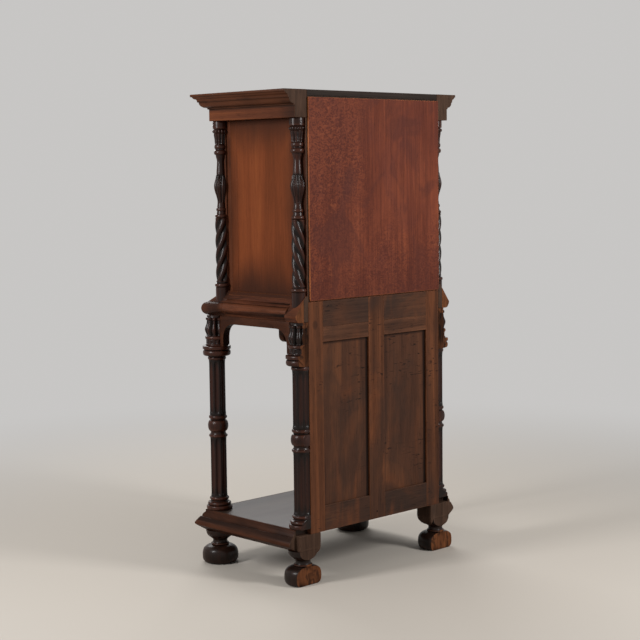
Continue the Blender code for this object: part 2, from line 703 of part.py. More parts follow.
waist_board()
dust_x = LEG_X + APRON_OUT - APRON_THICK - GAP
dust_depth = (FRAME_THICK + GAP, LEG_FRONT + APRON_OUT - APRON_THICK - GAP)
dust_top = WAIST_BOTTOM - GAP
dust_z = (dust_top - DUST_BOARD_THICK, dust_top)
dust = board("dust_board", (-dust_x, dust_x), dust_depth, dust_z, INNER_OAK)
for label, side in SIDES:
    cut(dust, column_cutter(f"round_dust_front_{label}", side * LEG_X, LEG_FRONT))
    cut(dust, column_cutter(f"round_dust_rear_{label}", side * LEG_X, LEG_REAR))


# Upper columns

def upper_column(end, depth, label, side):
    low = WAIST_TOP
    top = FRIEZE_BOTTOM - GAP
    hand = side if end == "front" else -side
    rope = [0.0]
    per_strand = TWIST_SIDES // TWIST_STARTS
    for k in range(1, per_strand):
        rope.append(TWIST_DEPTH * (1 - abs(math.cos(math.pi * k / per_strand))))
    twist_low = low + 0.0290
    twist_high = top - TURNED_HEIGHT
    foot_z = low - (COLUMN_X + 1.25 * BLOCK_HALF - APEX_X) * WAIST_SLOPE

    rings = plain([(0.0225, foot_z), (0.0225, low + 0.0110)])
    rings += plain([(0.0250, low + 0.0145), (0.0250, low + 0.0215), (0.0205, low + 0.0255)])
    for i in range(TWIST_STEPS + 1):
        share = i / TWIST_STEPS
        z = twist_low + (twist_high - twist_low) * share
        rings.append((TWIST_RADIUS, z, rope, hand * math.tau * TWIST_TURNS * share))
    turning = [(0.0204, 0.987), (0.0204, 0.969), (0.0140, 0.942), (0.0167, 0.919), (0.0167, 0.900)]
    turning += [(0.0124, 0.886), (0.0122, 0.830), (0.0170, 0.774), (0.0218, 0.708), (0.0226, 0.669)]
    turning += [(0.0210, 0.619), (0.0160, 0.547), (0.0125, 0.478), (0.0118, 0.409), (0.0140, 0.349)]
    turning += [(0.0208, 0.329), (0.0208, 0.310), (0.0163, 0.293), (0.0192, 0.273), (0.0192, 0.250)]
    turning += [(0.0175, 0.239), (0.0205, 0.127), (0.0246, 0.110), (0.0246, 0.094), (0.0222, 0.079)]
    turning += [(0.0233, 0.0675), (0.0233, 0.0)]
    rings += plain([(radius, top - share * TURNED_HEIGHT) for radius, share in turning])
    name = f"upper_column_{end}_{label}"
    piece = turned(name, rings, side * COLUMN_X, depth, TWIST_SIDES, CARVED_WALNUT)
    under = WAIST_BOTTOM - WAIST_HEIGHT
    inside = COLUMN_X - 2.5 * BLOCK_HALF
    outside = COLUMN_X + 2.5 * BLOCK_HALF
    seat = [(inside, under), (inside, low + GAP), (APEX_X, low + GAP)]
    seat += [(outside, low + GAP - (outside - APEX_X) * WAIST_SLOPE), (outside, under)]
    reach = (depth - 2 * BLOCK_HALF, depth + 2 * BLOCK_HALF)
    cut(piece, along_depth(f"seat_{end}_{label}", mirrored(seat, side), reach[0], reach[1], CARVED_WALNUT))
    if end == "rear":
        x = sorted((side * inside, side * (SIDE_OUTER + GAP)))
        cut(piece, board(f"half_{label}", x, reach, (under, TOTAL_HEIGHT), CARVED_WALNUT))


for label, side in SIDES:
    upper_column("front", COLUMN_FRONT, label, side)
    upper_column("rear", COLUMN_REAR, label, side)


# Cupboard case

def case_outside(low, high):
    """Outer line of the case as (x, z): full width behind the waist, then sloped in to the plain sides."""
    ledge = [(WAIST_CASE, low), (WAIST_CASE, LEDGE_LOW), (APEX_X, WAIST_TOP), (SIDE_OUTER, WAIST_TOP)]
    return ledge + [(SIDE_OUTER, high)]


def side_panel(label, side):
    low = WAIST_BOTTOM + GAP
    high = FRIEZE_BOTTOM - GAP
    step = WAIST_TOP - WAIST_BOARD_THICK + GAP
    slot = (SHELF_HEIGHT - CUPBOARD_SHELF_THICK - GAP, SHELF_HEIGHT + GAP)
    housed = SIDE_INNER + HOUSING
    outline = [(SIDE_REBATE_X, low)] + case_outside(low, high) + [(SIDE_INNER, high)]
    outline += [(SIDE_INNER, slot[1]), (housed, slot[1]), (housed, slot[0]), (SIDE_INNER, slot[0])]
    outline += [(SIDE_INNER, step), (SIDE_REBATE_X, step)]
    along_depth(f"side_panel_{label}", mirrored(outline, side), 0.0, FRONT_STILE_BACK - GAP, SIDE_WALNUT)


def front_stile(label, side):
    low = WAIST_BOTTOM + GAP
    high = FRIEZE_BOTTOM - GAP
    across = [(FRONT_STILE_INNER, low)] + case_outside(low, high) + [(FRONT_STILE_INNER, high)]
    name = f"front_stile_{label}"
    piece = along_depth(name, mirrored(across, side), FRONT_STILE_BACK, FRONT_STILE_FACE, DARK_WALNUT)
    bead_back = FRONT_STILE_FACE - STILE_BEAD_WIDTH
    outline = [(SIDE_OUTER - 0.004, bead_back), (SIDE_OUTER, bead_back)]
    outline += arc(SIDE_OUTER, FRONT_STILE_FACE - STILE_BEAD_WIDTH / 2, STILE_BEAD_OUT, -35, 35, 4)
    outline += [(SIDE_OUTER, FRONT_STILE_FACE), (SIDE_OUTER - 0.004, FRONT_STILE_FACE)]
    bead_low = WAIST_TOP - 0.002
    join(piece, along_z(f"stile_bead_{label}", mirrored(outline, side), bead_low, high, DARK_WALNUT))
    return piece


for label, side in SIDES:
    side_panel(label, side)
stiles = {label: front_stile(label, side) for label, side in SIDES}

housed_x = SIDE_INNER + HOUSING - GAP
shelf_z = (SHELF_HEIGHT - CUPBOARD_SHELF_THICK, SHELF_HEIGHT)
board("cupboard_shelf", (-housed_x, housed_x), (GAP, FRONT_STILE_BACK - 0.002), shelf_z, INNER_OAK)


# Frieze, cornice, top and back

def cornice_profile():
    """Section of the frieze and cornice as (u, z), u outwards from the frieze's face."""
    low = FRIEZE_BOTTOM
    top = TOTAL_HEIGHT
    lip = CORNICE_OUT
    outline = [(-FRIEZE_THICK, low), (0.0, low), (0.0, top - 0.0470), (0.0040, top - 0.0465)]
    outline += [(0.0040, top - 0.0425)]
    outline += arc(0.0060, top - 0.0250, 0.0170, -90, 0, 4)
    outline += [(0.0265, top - 0.0245), (0.0265, top - 0.0210)]
    outline += arc(0.0285, top - 0.0060, lip - 0.0325, -90, -15, 4)
    outline += [(lip, top - 0.0075), (lip, top), (-FRIEZE_THICK, top)]
    return outline


front_moulding("cornice_front", cornice_profile(), FRIEZE_HALF_WIDTH, FRIEZE_DEPTH)
for label, side in SIDES:
    name = f"cornice_{label}"
    side_moulding(name, cornice_profile(), FRIEZE_HALF_WIDTH, FRIEZE_DEPTH, side, 0.0)

top_x = FRIEZE_HALF_WIDTH - FRIEZE_THICK - GAP
top_depth = FRIEZE_DEPTH - FRIEZE_THICK - GAP
top_z = TOTAL_HEIGHT - GAP
board("top_board", (-top_x, top_x), (0.0, top_depth), (top_z - TOP_BOARD_THICK, top_z), DARK_WALNUT)
rail_z = (FRIEZE_BOTTOM, top_z - TOP_BOARD_THICK - GAP)
board("top_back_rail", (-top_x, top_x), (0.0, BACK_RAIL_THICK), rail_z, BACK_WALNUT)
planted = (-BACK_BOARD_THICK - GAP, -GAP)
board_z = (BACK_BOARD_BOTTOM, BACK_BOARD_TOP)
board("upper_back_board", (-BACK_BOARD_HALF, BACK_BOARD_HALF), planted, board_z, RED_OAK)


# Door

door_pivot = bpy.data.objects.new("door_pivot", None)
door_pivot.location = at(HINGE_X, HINGE_DEPTH, WAIST_TOP)
bpy.context.scene.collection.objects.link(door_pivot)
drawer_slide = bpy.data.objects.new("drawer_slide", None)
drawer_slide.location = at(0.0, DRAWER_FRONT_BACK, WAIST_BOTTOM)
bpy.context.scene.collection.objects.link(drawer_slide)


def carry(piece, carrier):
    """Hangs a piece on an empty without moving it."""
    piece.parent = carrier
    piece.matrix_parent_inverse = Matrix.Translation(carrier.location).inverted()
    return piece


DOOR_BACK = DOOR_FACE - DOOR_THICK
DOOR_LOW = WAIST_TOP + DOOR_HEAD_GAP
DOOR_HIGH = FRIEZE_BOTTOM - DOOR_HEAD_GAP
DOOR_GROOVE = (LOCK_DEPTH - DOOR_PANEL_EDGE / 2 - GAP, LOCK_DEPTH + DOOR_PANEL_EDGE / 2 + GAP)


def door_edge(edge, inwards):
    """Grooved edge of a door member, from its back to its face."""
    floor = edge + inwards * GROOVE
    return [(edge, DOOR_BACK), (edge, DOOR_GROOVE[0]), (floor, DOOR_GROOVE[0]), (floor, DOOR_GROOVE[1]),
            (edge, DOOR_GROOVE[1]), (edge, DOOR_FACE)]


def fielded_panel(x, z):
    """Panel whose middle is raised on a sloped border towards the front."""
    back = LOCK_DEPTH - DOOR_PANEL_EDGE / 2
    front = LOCK_DEPTH + DOOR_PANEL_EDGE / 2
    field = back + DOOR_PANEL_FIELD
    levels = ((0.0, back), (0.0, front), (FIELD_MARGIN, front), (FIELD_MARGIN + FIELD_BEVEL, field))
    bm = bmesh.new()
    loops = []
    for inset, depth in levels:
        low_x, high_x, low_z, high_z = x[0] + inset, x[1] - inset, z[0] + inset, z[1] - inset
        corners = ((low_x, low_z), (high_x, low_z), (high_x, high_z), (low_x, high_z))
        loops.append([bm.verts.new(at(px, depth, pz)) for px, pz in corners])
    for first, second in zip(loops, loops[1:]):
        for k in range(4):
            n = (k + 1) % 4
            bm.faces.new((first[k], first[n], second[n], second[k]))
    bm.faces.new(loops[0])
    bm.faces.new(loops[-1])
    return solid("door_panel", bm, DARK_WALNUT)


def door():
    inner = DOOR_HALF - DOOR_STILE
    parts = {}
    for label, side in SIDES:
        outline = door_edge(inner, 1) + [(DOOR_HALF, DOOR_FACE), (DOOR_HALF, DOOR_BACK)]
        name = "door_lock_stile" if label == "right" else "door_hinge_stile"
        parts[label] = along_z(name, mirrored(outline, side), DOOR_LOW, DOOR_HIGH, DARK_WALNUT)
    low_edge = DOOR_LOW + DOOR_RAIL
    high_edge = DOOR_HIGH - DOOR_RAIL
    reach = inner - GAP
    low_rail = [(depth, z) for z, depth in door_edge(low_edge, -1)]
    low_rail += [(DOOR_FACE, DOOR_LOW), (DOOR_BACK, DOOR_LOW)]
    high_rail = [(depth, z) for z, depth in door_edge(high_edge, 1)]
    high_rail += [(DOOR_FACE, DOOR_HIGH), (DOOR_BACK, DOOR_HIGH)]
    parts["low"] = along_x("door_bottom_rail", low_rail, -reach, reach, DARK_WALNUT)
    parts["high"] = along_x("door_top_rail", high_rail, -reach, reach, DARK_WALNUT)
    sunk = GROOVE - GROOVE_END_GAP
    parts["panel"] = fielded_panel((-inner - sunk, inner + sunk), (low_edge - sunk, high_edge + sunk))
    for piece in parts.values():
        carry(piece, door_pivot)
    return parts["right"]


lock_stile = door()


# Hinges

def hinge(level, z):
    split = z + BARREL_HEIGHT
    profile = [(0.0015, z - 0.009), (0.0036, z - 0.0065), (0.0036, z - 0.0035), (0.0024, z - 0.0012)]
    profile += [(BARREL_RADIUS, z), (BARREL_RADIUS, split)]
    profile += [(PIN_RADIUS, split), (PIN_RADIUS, split + PIN_HEIGHT)]
    fixed = turned(f"hinge_{level}_fixed", plain(profile), HINGE_X, HINGE_DEPTH, BARREL_SIDES, IRON)
    leaf = (HINGE_X - LEAF_THICK - GAP / 2, HINGE_X - GAP / 2)
    reach = (HINGE_DEPTH - BARREL_RADIUS - LEAF_DEPTH, HINGE_DEPTH - 0.003)
    join(fixed, board(f"leaf_{level}_fixed", leaf, reach, (z + 0.002, split - 0.002), IRON))

    low = split + GAP
    high = low + BARREL_HEIGHT
    crown = [(BARREL_RADIUS, low), (BARREL_RADIUS, high), (0.0024, high + 0.0012)]
    crown += [(0.0036, high + 0.0035), (0.0036, high + 0.0065), (0.0015, high + 0.009)]
    moving = turned(f"hinge_{level}_moving", plain(crown), HINGE_X, HINGE_DEPTH, BARREL_SIDES, IRON)
    leaf = (HINGE_X + GAP / 2, HINGE_X + GAP / 2 + LEAF_THICK)
    join(moving, board(f"leaf_{level}_moving", leaf, reach, (low + 0.002, high - 0.002), IRON))
    bore = plain([(PIN_RADIUS + 0.0004, low - 0.01), (PIN_RADIUS + 0.0004, split + PIN_HEIGHT + 0.002)])
    cut(moving, turned(f"bore_{level}", bore, HINGE_X, HINGE_DEPTH, BARREL_SIDES, IRON))
    carry(moving, door_pivot)


hinge("lower", HINGE_LOW)
hinge("upper", HINGE_HIGH)


# Lock: escutcheon, key and bolt

def on_key_axis(name, rings, sides, material):
    """Turning about the key's own axis: rings are (radius, depth)."""
    bm = bmesh.new()
    loops = []
    for radius, depth in rings:
        loop = []
        for k in range(sides):
            angle = math.tau * k / sides
            x = KEY_X + radius * math.cos(angle)
            loop.append(bm.verts.new(at(x, depth, KEY_HEIGHT + radius * math.sin(angle))))
        loops.append(loop)
    for first, second in zip(loops, loops[1:]):
        for k in range(sides):
            n = (k + 1) % sides
            bm.faces.new((first[k], first[n], second[n], second[k]))
    bm.faces.new(loops[0])
    bm.faces.new(loops[-1])
    return solid(name, bm, material, smooth=True)


def lock():
    half_thick = BOLT_THICK / 2
    bolt_low = KEY_HEIGHT + BOLT_LIFT
    bolt_end = DOOR_HALF - 0.0005
    bolt_x = (bolt_end - BOLT_LENGTH, bolt_end)
    bolt_z = (bolt_low, bolt_low + BOLT_HEIGHT)
    bolt_depth = (LOCK_DEPTH - half_thick, LOCK_DEPTH + half_thick)
    carry(board("lock_bolt", bolt_x, bolt_depth, bolt_z, IRON), door_pivot)

    mortise_x = (KEY_X - MORTISE_BACK, DOOR_HALF + 0.01)
    mortise_depth = (bolt_depth[0] - GAP, bolt_depth[1] + GAP)
    mortise_z = (KEY_HEIGHT - MORTISE_BELOW, bolt_z[1] + GAP)
    cut(lock_stile, board("mortise_door", mortise_x, mortise_depth, mortise_z, DARK_WALNUT))
    strike_x = (FRONT_STILE_INNER - 0.01, bolt_end + BOLT_TRAVEL + 0.0035)
    strike_z = (bolt_z[0] - 0.0005, bolt_z[1] + 0.0005)
    strike_depth = (bolt_depth[0] - 0.0005, bolt_depth[1] + 0.0005)
    cut(stiles["right"], board("mortise_stile", strike_x, strike_depth, strike_z, DARK_WALNUT))

    hole = KEY_RADIUS + 0.0004
    through = ((hole, LOCK_DEPTH), (hole, DOOR_FACE + 0.01))
    cut(lock_stile, on_key_axis("keyhole_door", through, 12, BRASS))
    plate_back = DOOR_FACE + GAP
    plate_front = plate_back + PLATE_THICK
    rim = [(PLATE_RADIUS, plate_back), (PLATE_RADIUS, plate_front - 0.0005)]
    plate = on_key_axis("escutcheon", rim + [(PLATE_RADIUS - 0.002, plate_front)], 20, BRASS)
    through = ((hole, DOOR_FACE - 0.01), (hole, DOOR_FACE + 0.02))
    cut(plate, on_key_axis("keyhole_plate", through, 12, BRASS))
    carry(plate, door_pivot)

    tip = LOCK_DEPTH - half_thick + 0.0006
    collar = plate_front + 0.0010
    shoulder = DOOR_FACE + KEY_REACH
    shaft = [(KEY_RADIUS, tip), (KEY_RADIUS, collar), (KEY_RADIUS + 0.002, collar + 0.0005)]
    shaft += [(KEY_RADIUS + 0.002, collar + 0.0025), (KEY_RADIUS, collar + 0.003), (KEY_RADIUS, shoulder)]
    key = on_key_axis("key", shaft, 12, IRON)
    bit_x = (KEY_X - 0.0012, KEY_X + 0.0012)
    bit_depth = (LOCK_DEPTH - 0.0024, LOCK_DEPTH + 0.0024)
    join(key, board("key_bit", bit_x, bit_depth, (KEY_HEIGHT - BIT_LENGTH, KEY_HEIGHT), IRON))
    middle = shoulder + BOW_RADIUS - 0.001
    ring = []
    for radius in (BOW_RADIUS + BOW_BAR, BOW_RADIUS - BOW_BAR):
        ring.append(arc(middle, KEY_HEIGHT, radius, 0, 337.5, 15))
    bow = along_x("key_bow", ring[0], KEY_X - BOW_BAR / 2, KEY_X + BOW_BAR / 2, IRON)
    cut(bow, along_x("key_eye", ring[1], KEY_X - 0.01, KEY_X + 0.01, IRON))
    join(key, bow)
    carry(key, door_pivot)


lock()


# Drawer

def drawer():
    low = WAIST_BOTTOM
    outer = FRONT_STILE_INNER - DRAWER_GAP
    inner = outer - DRAWER_SIDE
    side_low = low
    bottom = (side_low + DRAWER_BOTTOM_LIFT, side_low + DRAWER_BOTTOM_LIFT + DRAWER_BOTTOM_THICK)
    groove = DRAWER_SIDE / 3
    front_end = DRAWER_FRONT_BACK - GAP
    parts = []
    for label, side in SIDES:
        outline = [(inner, side_low), (outer, side_low), (outer, DRAWER_TOP), (inner, DRAWER_TOP)]
        outline += [(inner, bottom[1] + GAP), (inner + groove, bottom[1] + GAP)]
        outline += [(inner + groove, bottom[0] - GAP), (inner, bottom[0] - GAP)]
        name = f"drawer_side_{label}"
        parts.append(along_depth(name, mirrored(outline, side), DRAWER_BACK_AT, front_end, INNER_OAK))
    wide = inner + groove - GAP
    back = (DRAWER_BACK_AT, DRAWER_BACK_AT + DRAWER_SIDE)
    parts.append(board("drawer_bottom", (-wide, wide), (DRAWER_BACK_AT, front_end), bottom, INNER_OAK))
    back_x = inner - GAP
    parts.append(board("drawer_back", (-back_x, back_x), back, (bottom[1] + GAP, DRAWER_TOP), INNER_OAK))

    rise = (0.0015, WAIST_HEIGHT - WAIST_BOARD_THICK - 0.0015)
    line = run_profile(rise[0], rise[1])
    outline = [(MOULD_DEPTH + u, low + z) for u, z in line]
    outline += [(DRAWER_FRONT_BACK, outline[-1][1]), (DRAWER_FRONT_BACK, outline[0][1])]
    reach = FRONT_INNER_X - DRAWER_GAP
    parts.append(along_x("drawer_front", outline, -reach, reach, DARK_WALNUT))

    nose = MOULD_DEPTH + WAIST_TORUS_U + WAIST_TORUS + GAP
    knob = [(0.0070, 0.0), (0.0070, 0.0020), (0.0042, 0.0040), (0.0042, 0.0080), (PULL_RADIUS, 0.0125)]
    knob += [(PULL_RADIUS, 0.0175), (0.0065, 0.0215), (0.0020, PULL_LENGTH)]
    bm = bmesh.new()
    loops = []
    for radius, out in knob:
        ring = arc(0.0, low + WAIST_TORUS_Z, radius, 0, 337.5, 15)
        loops.append([bm.verts.new(at(x, nose + out, z)) for x, z in ring])
    for first, second in zip(loops, loops[1:]):
        for k in range(16):
            n = (k + 1) % 16
            bm.faces.new((first[k], first[n], second[n], second[k]))
    bm.faces.new(loops[0])
    bm.faces.new(loops[-1])
    parts.append(solid("drawer_pull", bm, BRASS, smooth=True))
    for piece in parts:
        carry(piece, drawer_slide)


drawer()
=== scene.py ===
# %% [markdown]
# # A walnut cocktail cabinet on a columned stand
#
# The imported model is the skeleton: every board, column and hinge already has its place and the
# body it moves with. This lesson dresses that skeleton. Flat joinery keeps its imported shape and
# gets worn edges, the turned columns and feet are made again with carving, and every surface
# gets a finish from nodes.

# %% Load the frame
import json
import math

import bmesh
import bpy
import numpy as np
from mathutils import Matrix, Vector

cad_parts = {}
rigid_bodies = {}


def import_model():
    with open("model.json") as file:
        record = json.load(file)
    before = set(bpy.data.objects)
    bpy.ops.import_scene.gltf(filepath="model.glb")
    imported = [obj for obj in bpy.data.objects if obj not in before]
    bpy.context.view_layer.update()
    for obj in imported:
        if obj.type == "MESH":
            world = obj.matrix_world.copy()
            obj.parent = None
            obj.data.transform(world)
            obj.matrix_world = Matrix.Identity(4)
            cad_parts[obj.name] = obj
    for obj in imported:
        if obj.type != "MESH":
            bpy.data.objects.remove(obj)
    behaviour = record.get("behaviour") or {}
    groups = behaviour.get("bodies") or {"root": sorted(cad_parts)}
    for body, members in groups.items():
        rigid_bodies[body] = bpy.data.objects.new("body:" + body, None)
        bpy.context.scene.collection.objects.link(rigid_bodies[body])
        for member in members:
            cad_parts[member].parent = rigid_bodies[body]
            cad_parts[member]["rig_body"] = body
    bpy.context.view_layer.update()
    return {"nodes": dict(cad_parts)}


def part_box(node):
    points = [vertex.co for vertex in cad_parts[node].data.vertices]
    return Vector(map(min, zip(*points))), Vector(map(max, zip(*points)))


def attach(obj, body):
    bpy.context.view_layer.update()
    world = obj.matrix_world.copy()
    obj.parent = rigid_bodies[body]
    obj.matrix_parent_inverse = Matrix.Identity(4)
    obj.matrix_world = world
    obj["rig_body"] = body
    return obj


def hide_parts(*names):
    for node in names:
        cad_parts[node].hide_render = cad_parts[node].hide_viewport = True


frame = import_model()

nodes = frame["nodes"]
BACK_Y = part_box("back_stile_left")[1].y

# %% [markdown]
# ## Camera
#
# The cabinet is seen from behind its right-hand rear corner, a little above half height, with a
# long lens, so the uprights stay nearly parallel. A camera looks along its own -Z axis, so its
# matrix is built from three directions: right, up and back. A small roll tilts the picture as a
# hand-held shot is tilted.

# %% Camera
CAMERA_PLACE = Vector((3.3951, 3.48785, 1.2589))
CAMERA_YAW = math.radians(135.956)
CAMERA_PITCH = math.radians(-5.670)
CAMERA_ROLL = math.radians(-0.664)


def aim(place, yaw, pitch, roll):
    ahead = Vector((-math.sin(yaw) * math.cos(pitch), math.cos(yaw) * math.cos(pitch), math.sin(pitch)))
    right = ahead.cross(Vector((0, 0, 1))).normalized()
    up = right.cross(ahead)
    level = math.cos(roll) * right + math.sin(roll) * up
    upright = -math.sin(roll) * right + math.cos(roll) * up
    turn = Matrix((level, upright, -ahead)).transposed().to_4x4()
    return Matrix.Translation(place) @ turn


camera_data = bpy.data.cameras.new("camera")
camera_data.sensor_width = 36.0
camera_data.lens = 84.57
camera = bpy.data.objects.new("camera", camera_data)
camera.matrix_world = aim(CAMERA_PLACE, CAMERA_YAW, CAMERA_PITCH, CAMERA_ROLL)
bpy.context.scene.collection.objects.link(camera)
bpy.context.scene.camera = camera
bpy.context.scene.view_settings.view_transform = "Standard"
print("camera at", [round(v, 3) for v in camera.matrix_world.translation])

# %% [markdown]
# ## Floor and light
#
# Polished dark wood shows its shape by reflections more than by shade. Two large soft lamps stand
# to the left and right of the camera, and the space behind the camera stays dimmer, so each round
# ring gets two bright streaks with a dark middle. The pale background is seen by the camera
# and by mirror-like rays only, and does not add light.

# %% Floor and light
LAMP_REACH = 2.7
PAPER = (0.575, 0.565, 0.555, 1)


def soft_lamp(name, azimuth, height, width, tall, power):
    lamp = bpy.data.lights.new(name, "AREA")
    lamp.shape = "RECTANGLE"
    lamp.size = width
    lamp.size_y = tall
    lamp.energy = power
    place = Vector((math.sin(azimuth) * LAMP_REACH, -math.cos(azimuth) * LAMP_REACH, height))
    lamp_object = bpy.data.objects.new(name, lamp)
    lamp_object.location = place
    lamp_object.rotation_euler = (Vector((0, 0, 0.8)) - place).to_track_quat("-Z", "Y").to_euler()
    bpy.context.scene.collection.objects.link(lamp_object)
    return lamp_object


soft_lamp("lamp_side", math.radians(82), 1.9, 0.55, 1.1, 53)
soft_lamp("lamp_back", math.radians(194), 1.9, 0.55, 1.1, 56)
soft_lamp("lamp_front", math.radians(-30), 2.2, 2.0, 1.6, 45)

world = bpy.data.worlds.new("studio")
bpy.context.scene.world = world
world.use_nodes = True
sky = world.node_tree
sky.nodes.clear()
room = sky.nodes.new("ShaderNodeBackground")
room.inputs["Color"].default_value = (1.0, 0.985, 0.96, 1)
room.inputs["Strength"].default_value = 0.32
paper = sky.nodes.new("ShaderNodeBackground")
paper.inputs["Color"].default_value = PAPER
ray = sky.nodes.new("ShaderNodeLightPath")
choice = sky.nodes.new("ShaderNodeMixShader")
sky_out = sky.nodes.new("ShaderNodeOutputWorld")
seen_by = None
for kind in ("Is Camera Ray", "Is Glossy Ray", "Is Transmission Ray"):
    if seen_by is None:
        seen_by = ray.outputs[kind]
        continue
    either = sky.nodes.new("ShaderNodeMath")
    either.operation = "MAXIMUM"
    sky.links.new(seen_by, either.inputs[0])
    sky.links.new(ray.outputs[kind], either.inputs[1])
    seen_by = either.outputs[0]
sky.links.new(seen_by, choice.inputs["Fac"])
sky.links.new(room.outputs[0], choice.inputs[1])
sky.links.new(paper.outputs[0], choice.inputs[2])
sky.links.new(choice.outputs[0], sky_out.inputs["Surface"])

floor_mesh = bpy.data.meshes.new("floor")
FLOOR_HALF = 14.0
floor_mesh.from_pydata(
    [(-FLOOR_HALF, -FLOOR_HALF, 0), (FLOOR_HALF, -FLOOR_HALF, 0), (FLOOR_HALF, FLOOR_HALF, 0), (-FLOOR_HALF, FLOOR_HALF, 0)],
    [], [(0, 1, 2, 3)])
floor = bpy.data.objects.new("floor", floor_mesh)
bpy.context.scene.collection.objects.link(floor)
floor_finish = bpy.data.materials.new("pale_floor")
floor_finish.use_nodes = True
ground = floor_finish.node_tree
stone = ground.nodes["Principled BSDF"]
stone.inputs["Base Color"].default_value = (0.52, 0.475, 0.42, 1)
stone.inputs["Roughness"].default_value = 0.85
place = ground.nodes.new("ShaderNodeTexCoord")
reach = ground.nodes.new("ShaderNodeVectorMath")
reach.operation = "LENGTH"
ground.links.new(place.outputs["Object"], reach.inputs[0])
fade = ground.nodes.new("ShaderNodeMapRange")
fade.interpolation_type = "SMOOTHSTEP"
fade.inputs["From Min"].default_value = 0.7
fade.inputs["From Max"].default_value = 3.4
ground.links.new(reach.outputs["Value"], fade.inputs["Value"])
seen = ground.nodes.new("ShaderNodeLightPath")
seen_by = seen.outputs["Is Camera Ray"]
for kind in ("Is Glossy Ray", "Is Transmission Ray"):
    either = ground.nodes.new("ShaderNodeMath")
    either.operation = "MAXIMUM"
    ground.links.new(seen_by, either.inputs[0])
    ground.links.new(seen.outputs[kind], either.inputs[1])
    seen_by = either.outputs[0]
share = ground.nodes.new("ShaderNodeMath")
share.operation = "MULTIPLY"
ground.links.new(fade.outputs["Result"], share.inputs[0])
ground.links.new(seen_by, share.inputs[1])
far = ground.nodes.new("ShaderNodeEmission")
far.inputs["Color"].default_value = PAPER
melt = ground.nodes.new("ShaderNodeMixShader")
ground.links.new(share.outputs[0], melt.inputs["Fac"])
ground.links.new(stone.outputs[0], melt.inputs[1])
ground.links.new(far.outputs[0], melt.inputs[2])
ground.links.new(melt.outputs[0], ground.nodes["Material Output"].inputs["Surface"])
floor_mesh.materials.append(floor_finish)
print("lamps and floor ready")

# %% [markdown]
# ## A wood finish from nodes
#
# Old polished walnut has long soft figure, fine streaks along the grain, short dark pores,
# cloudy stain, dirt in hollows together with painted shade, and rubbed, paler ridges. Each of
# those is one small group of nodes here. The grain is a noise texture squeezed across the grain
# and stretched along it. A mesh attribute named relief, from -1 in a hollow to 1 on a ridge, tells
# the dirt with its painted shade and the wear where to go, and a mesh without it reads 0 and stays plain.

# %% Node helpers


def srgb(red, green, blue):
    def linear(v):
        v = v / 255.0
        return v / 12.92 if v <= 0.04045 else ((v + 0.055) / 1.055) ** 2.4
    return (linear(red), linear(green), linear(blue), 1.0)


def put(tree, kind, **inputs):
    node = tree.nodes.new(kind)
    for name, value in inputs.items():
        socket = node.inputs[name.replace("_", " ")]
        if isinstance(value, bpy.types.NodeSocket):
            tree.links.new(value, socket)
        else:
            socket.default_value = value
    return node


def sums(tree, operation, first, second=None, clamp=False):
    node = tree.nodes.new("ShaderNodeMath")
    node.operation = operation
    node.use_clamp = clamp
    for socket, value in zip(node.inputs, (first, second)):
        if isinstance(value, bpy.types.NodeSocket):
            tree.links.new(value, socket)
        elif value is not None:
            socket.default_value = value
    return node.outputs[0]


def between(tree, value, low, high, to_low=0.0, to_high=1.0):
    node = put(tree, "ShaderNodeMapRange", Value=value)
    node.interpolation_type = "SMOOTHSTEP"
    for name, number in (("From Min", low), ("From Max", high), ("To Min", to_low), ("To Max", to_high)):
        node.inputs[name].default_value = number
    return node.outputs["Result"]


def tint(tree, factor, under, over):
    node = tree.nodes.new("ShaderNodeMix")
    node.data_type = "RGBA"
    for index, value in ((0, factor), (6, under), (7, over)):
        if isinstance(value, bpy.types.NodeSocket):
            tree.links.new(value, node.inputs[index])
        else:
            node.inputs[index].default_value = value
    return node.outputs[2]


def streaks(tree, grain, across, along, detail=3.0, bend=0.0):
    scale = [across, across, across]
    scale["xyz".index(grain)] = along
    place = tree.nodes.new("ShaderNodeTexCoord")
    squeeze = put(tree, "ShaderNodeMapping", Vector=place.outputs["Object"])
    squeeze.inputs["Scale"].default_value = scale
    noise = put(tree, "ShaderNodeTexNoise", Vector=squeeze.outputs["Vector"], Scale=1.0, Detail=detail,
                Roughness=0.55, Distortion=bend)
    return noise.outputs["Fac"]


print("node helpers ready")
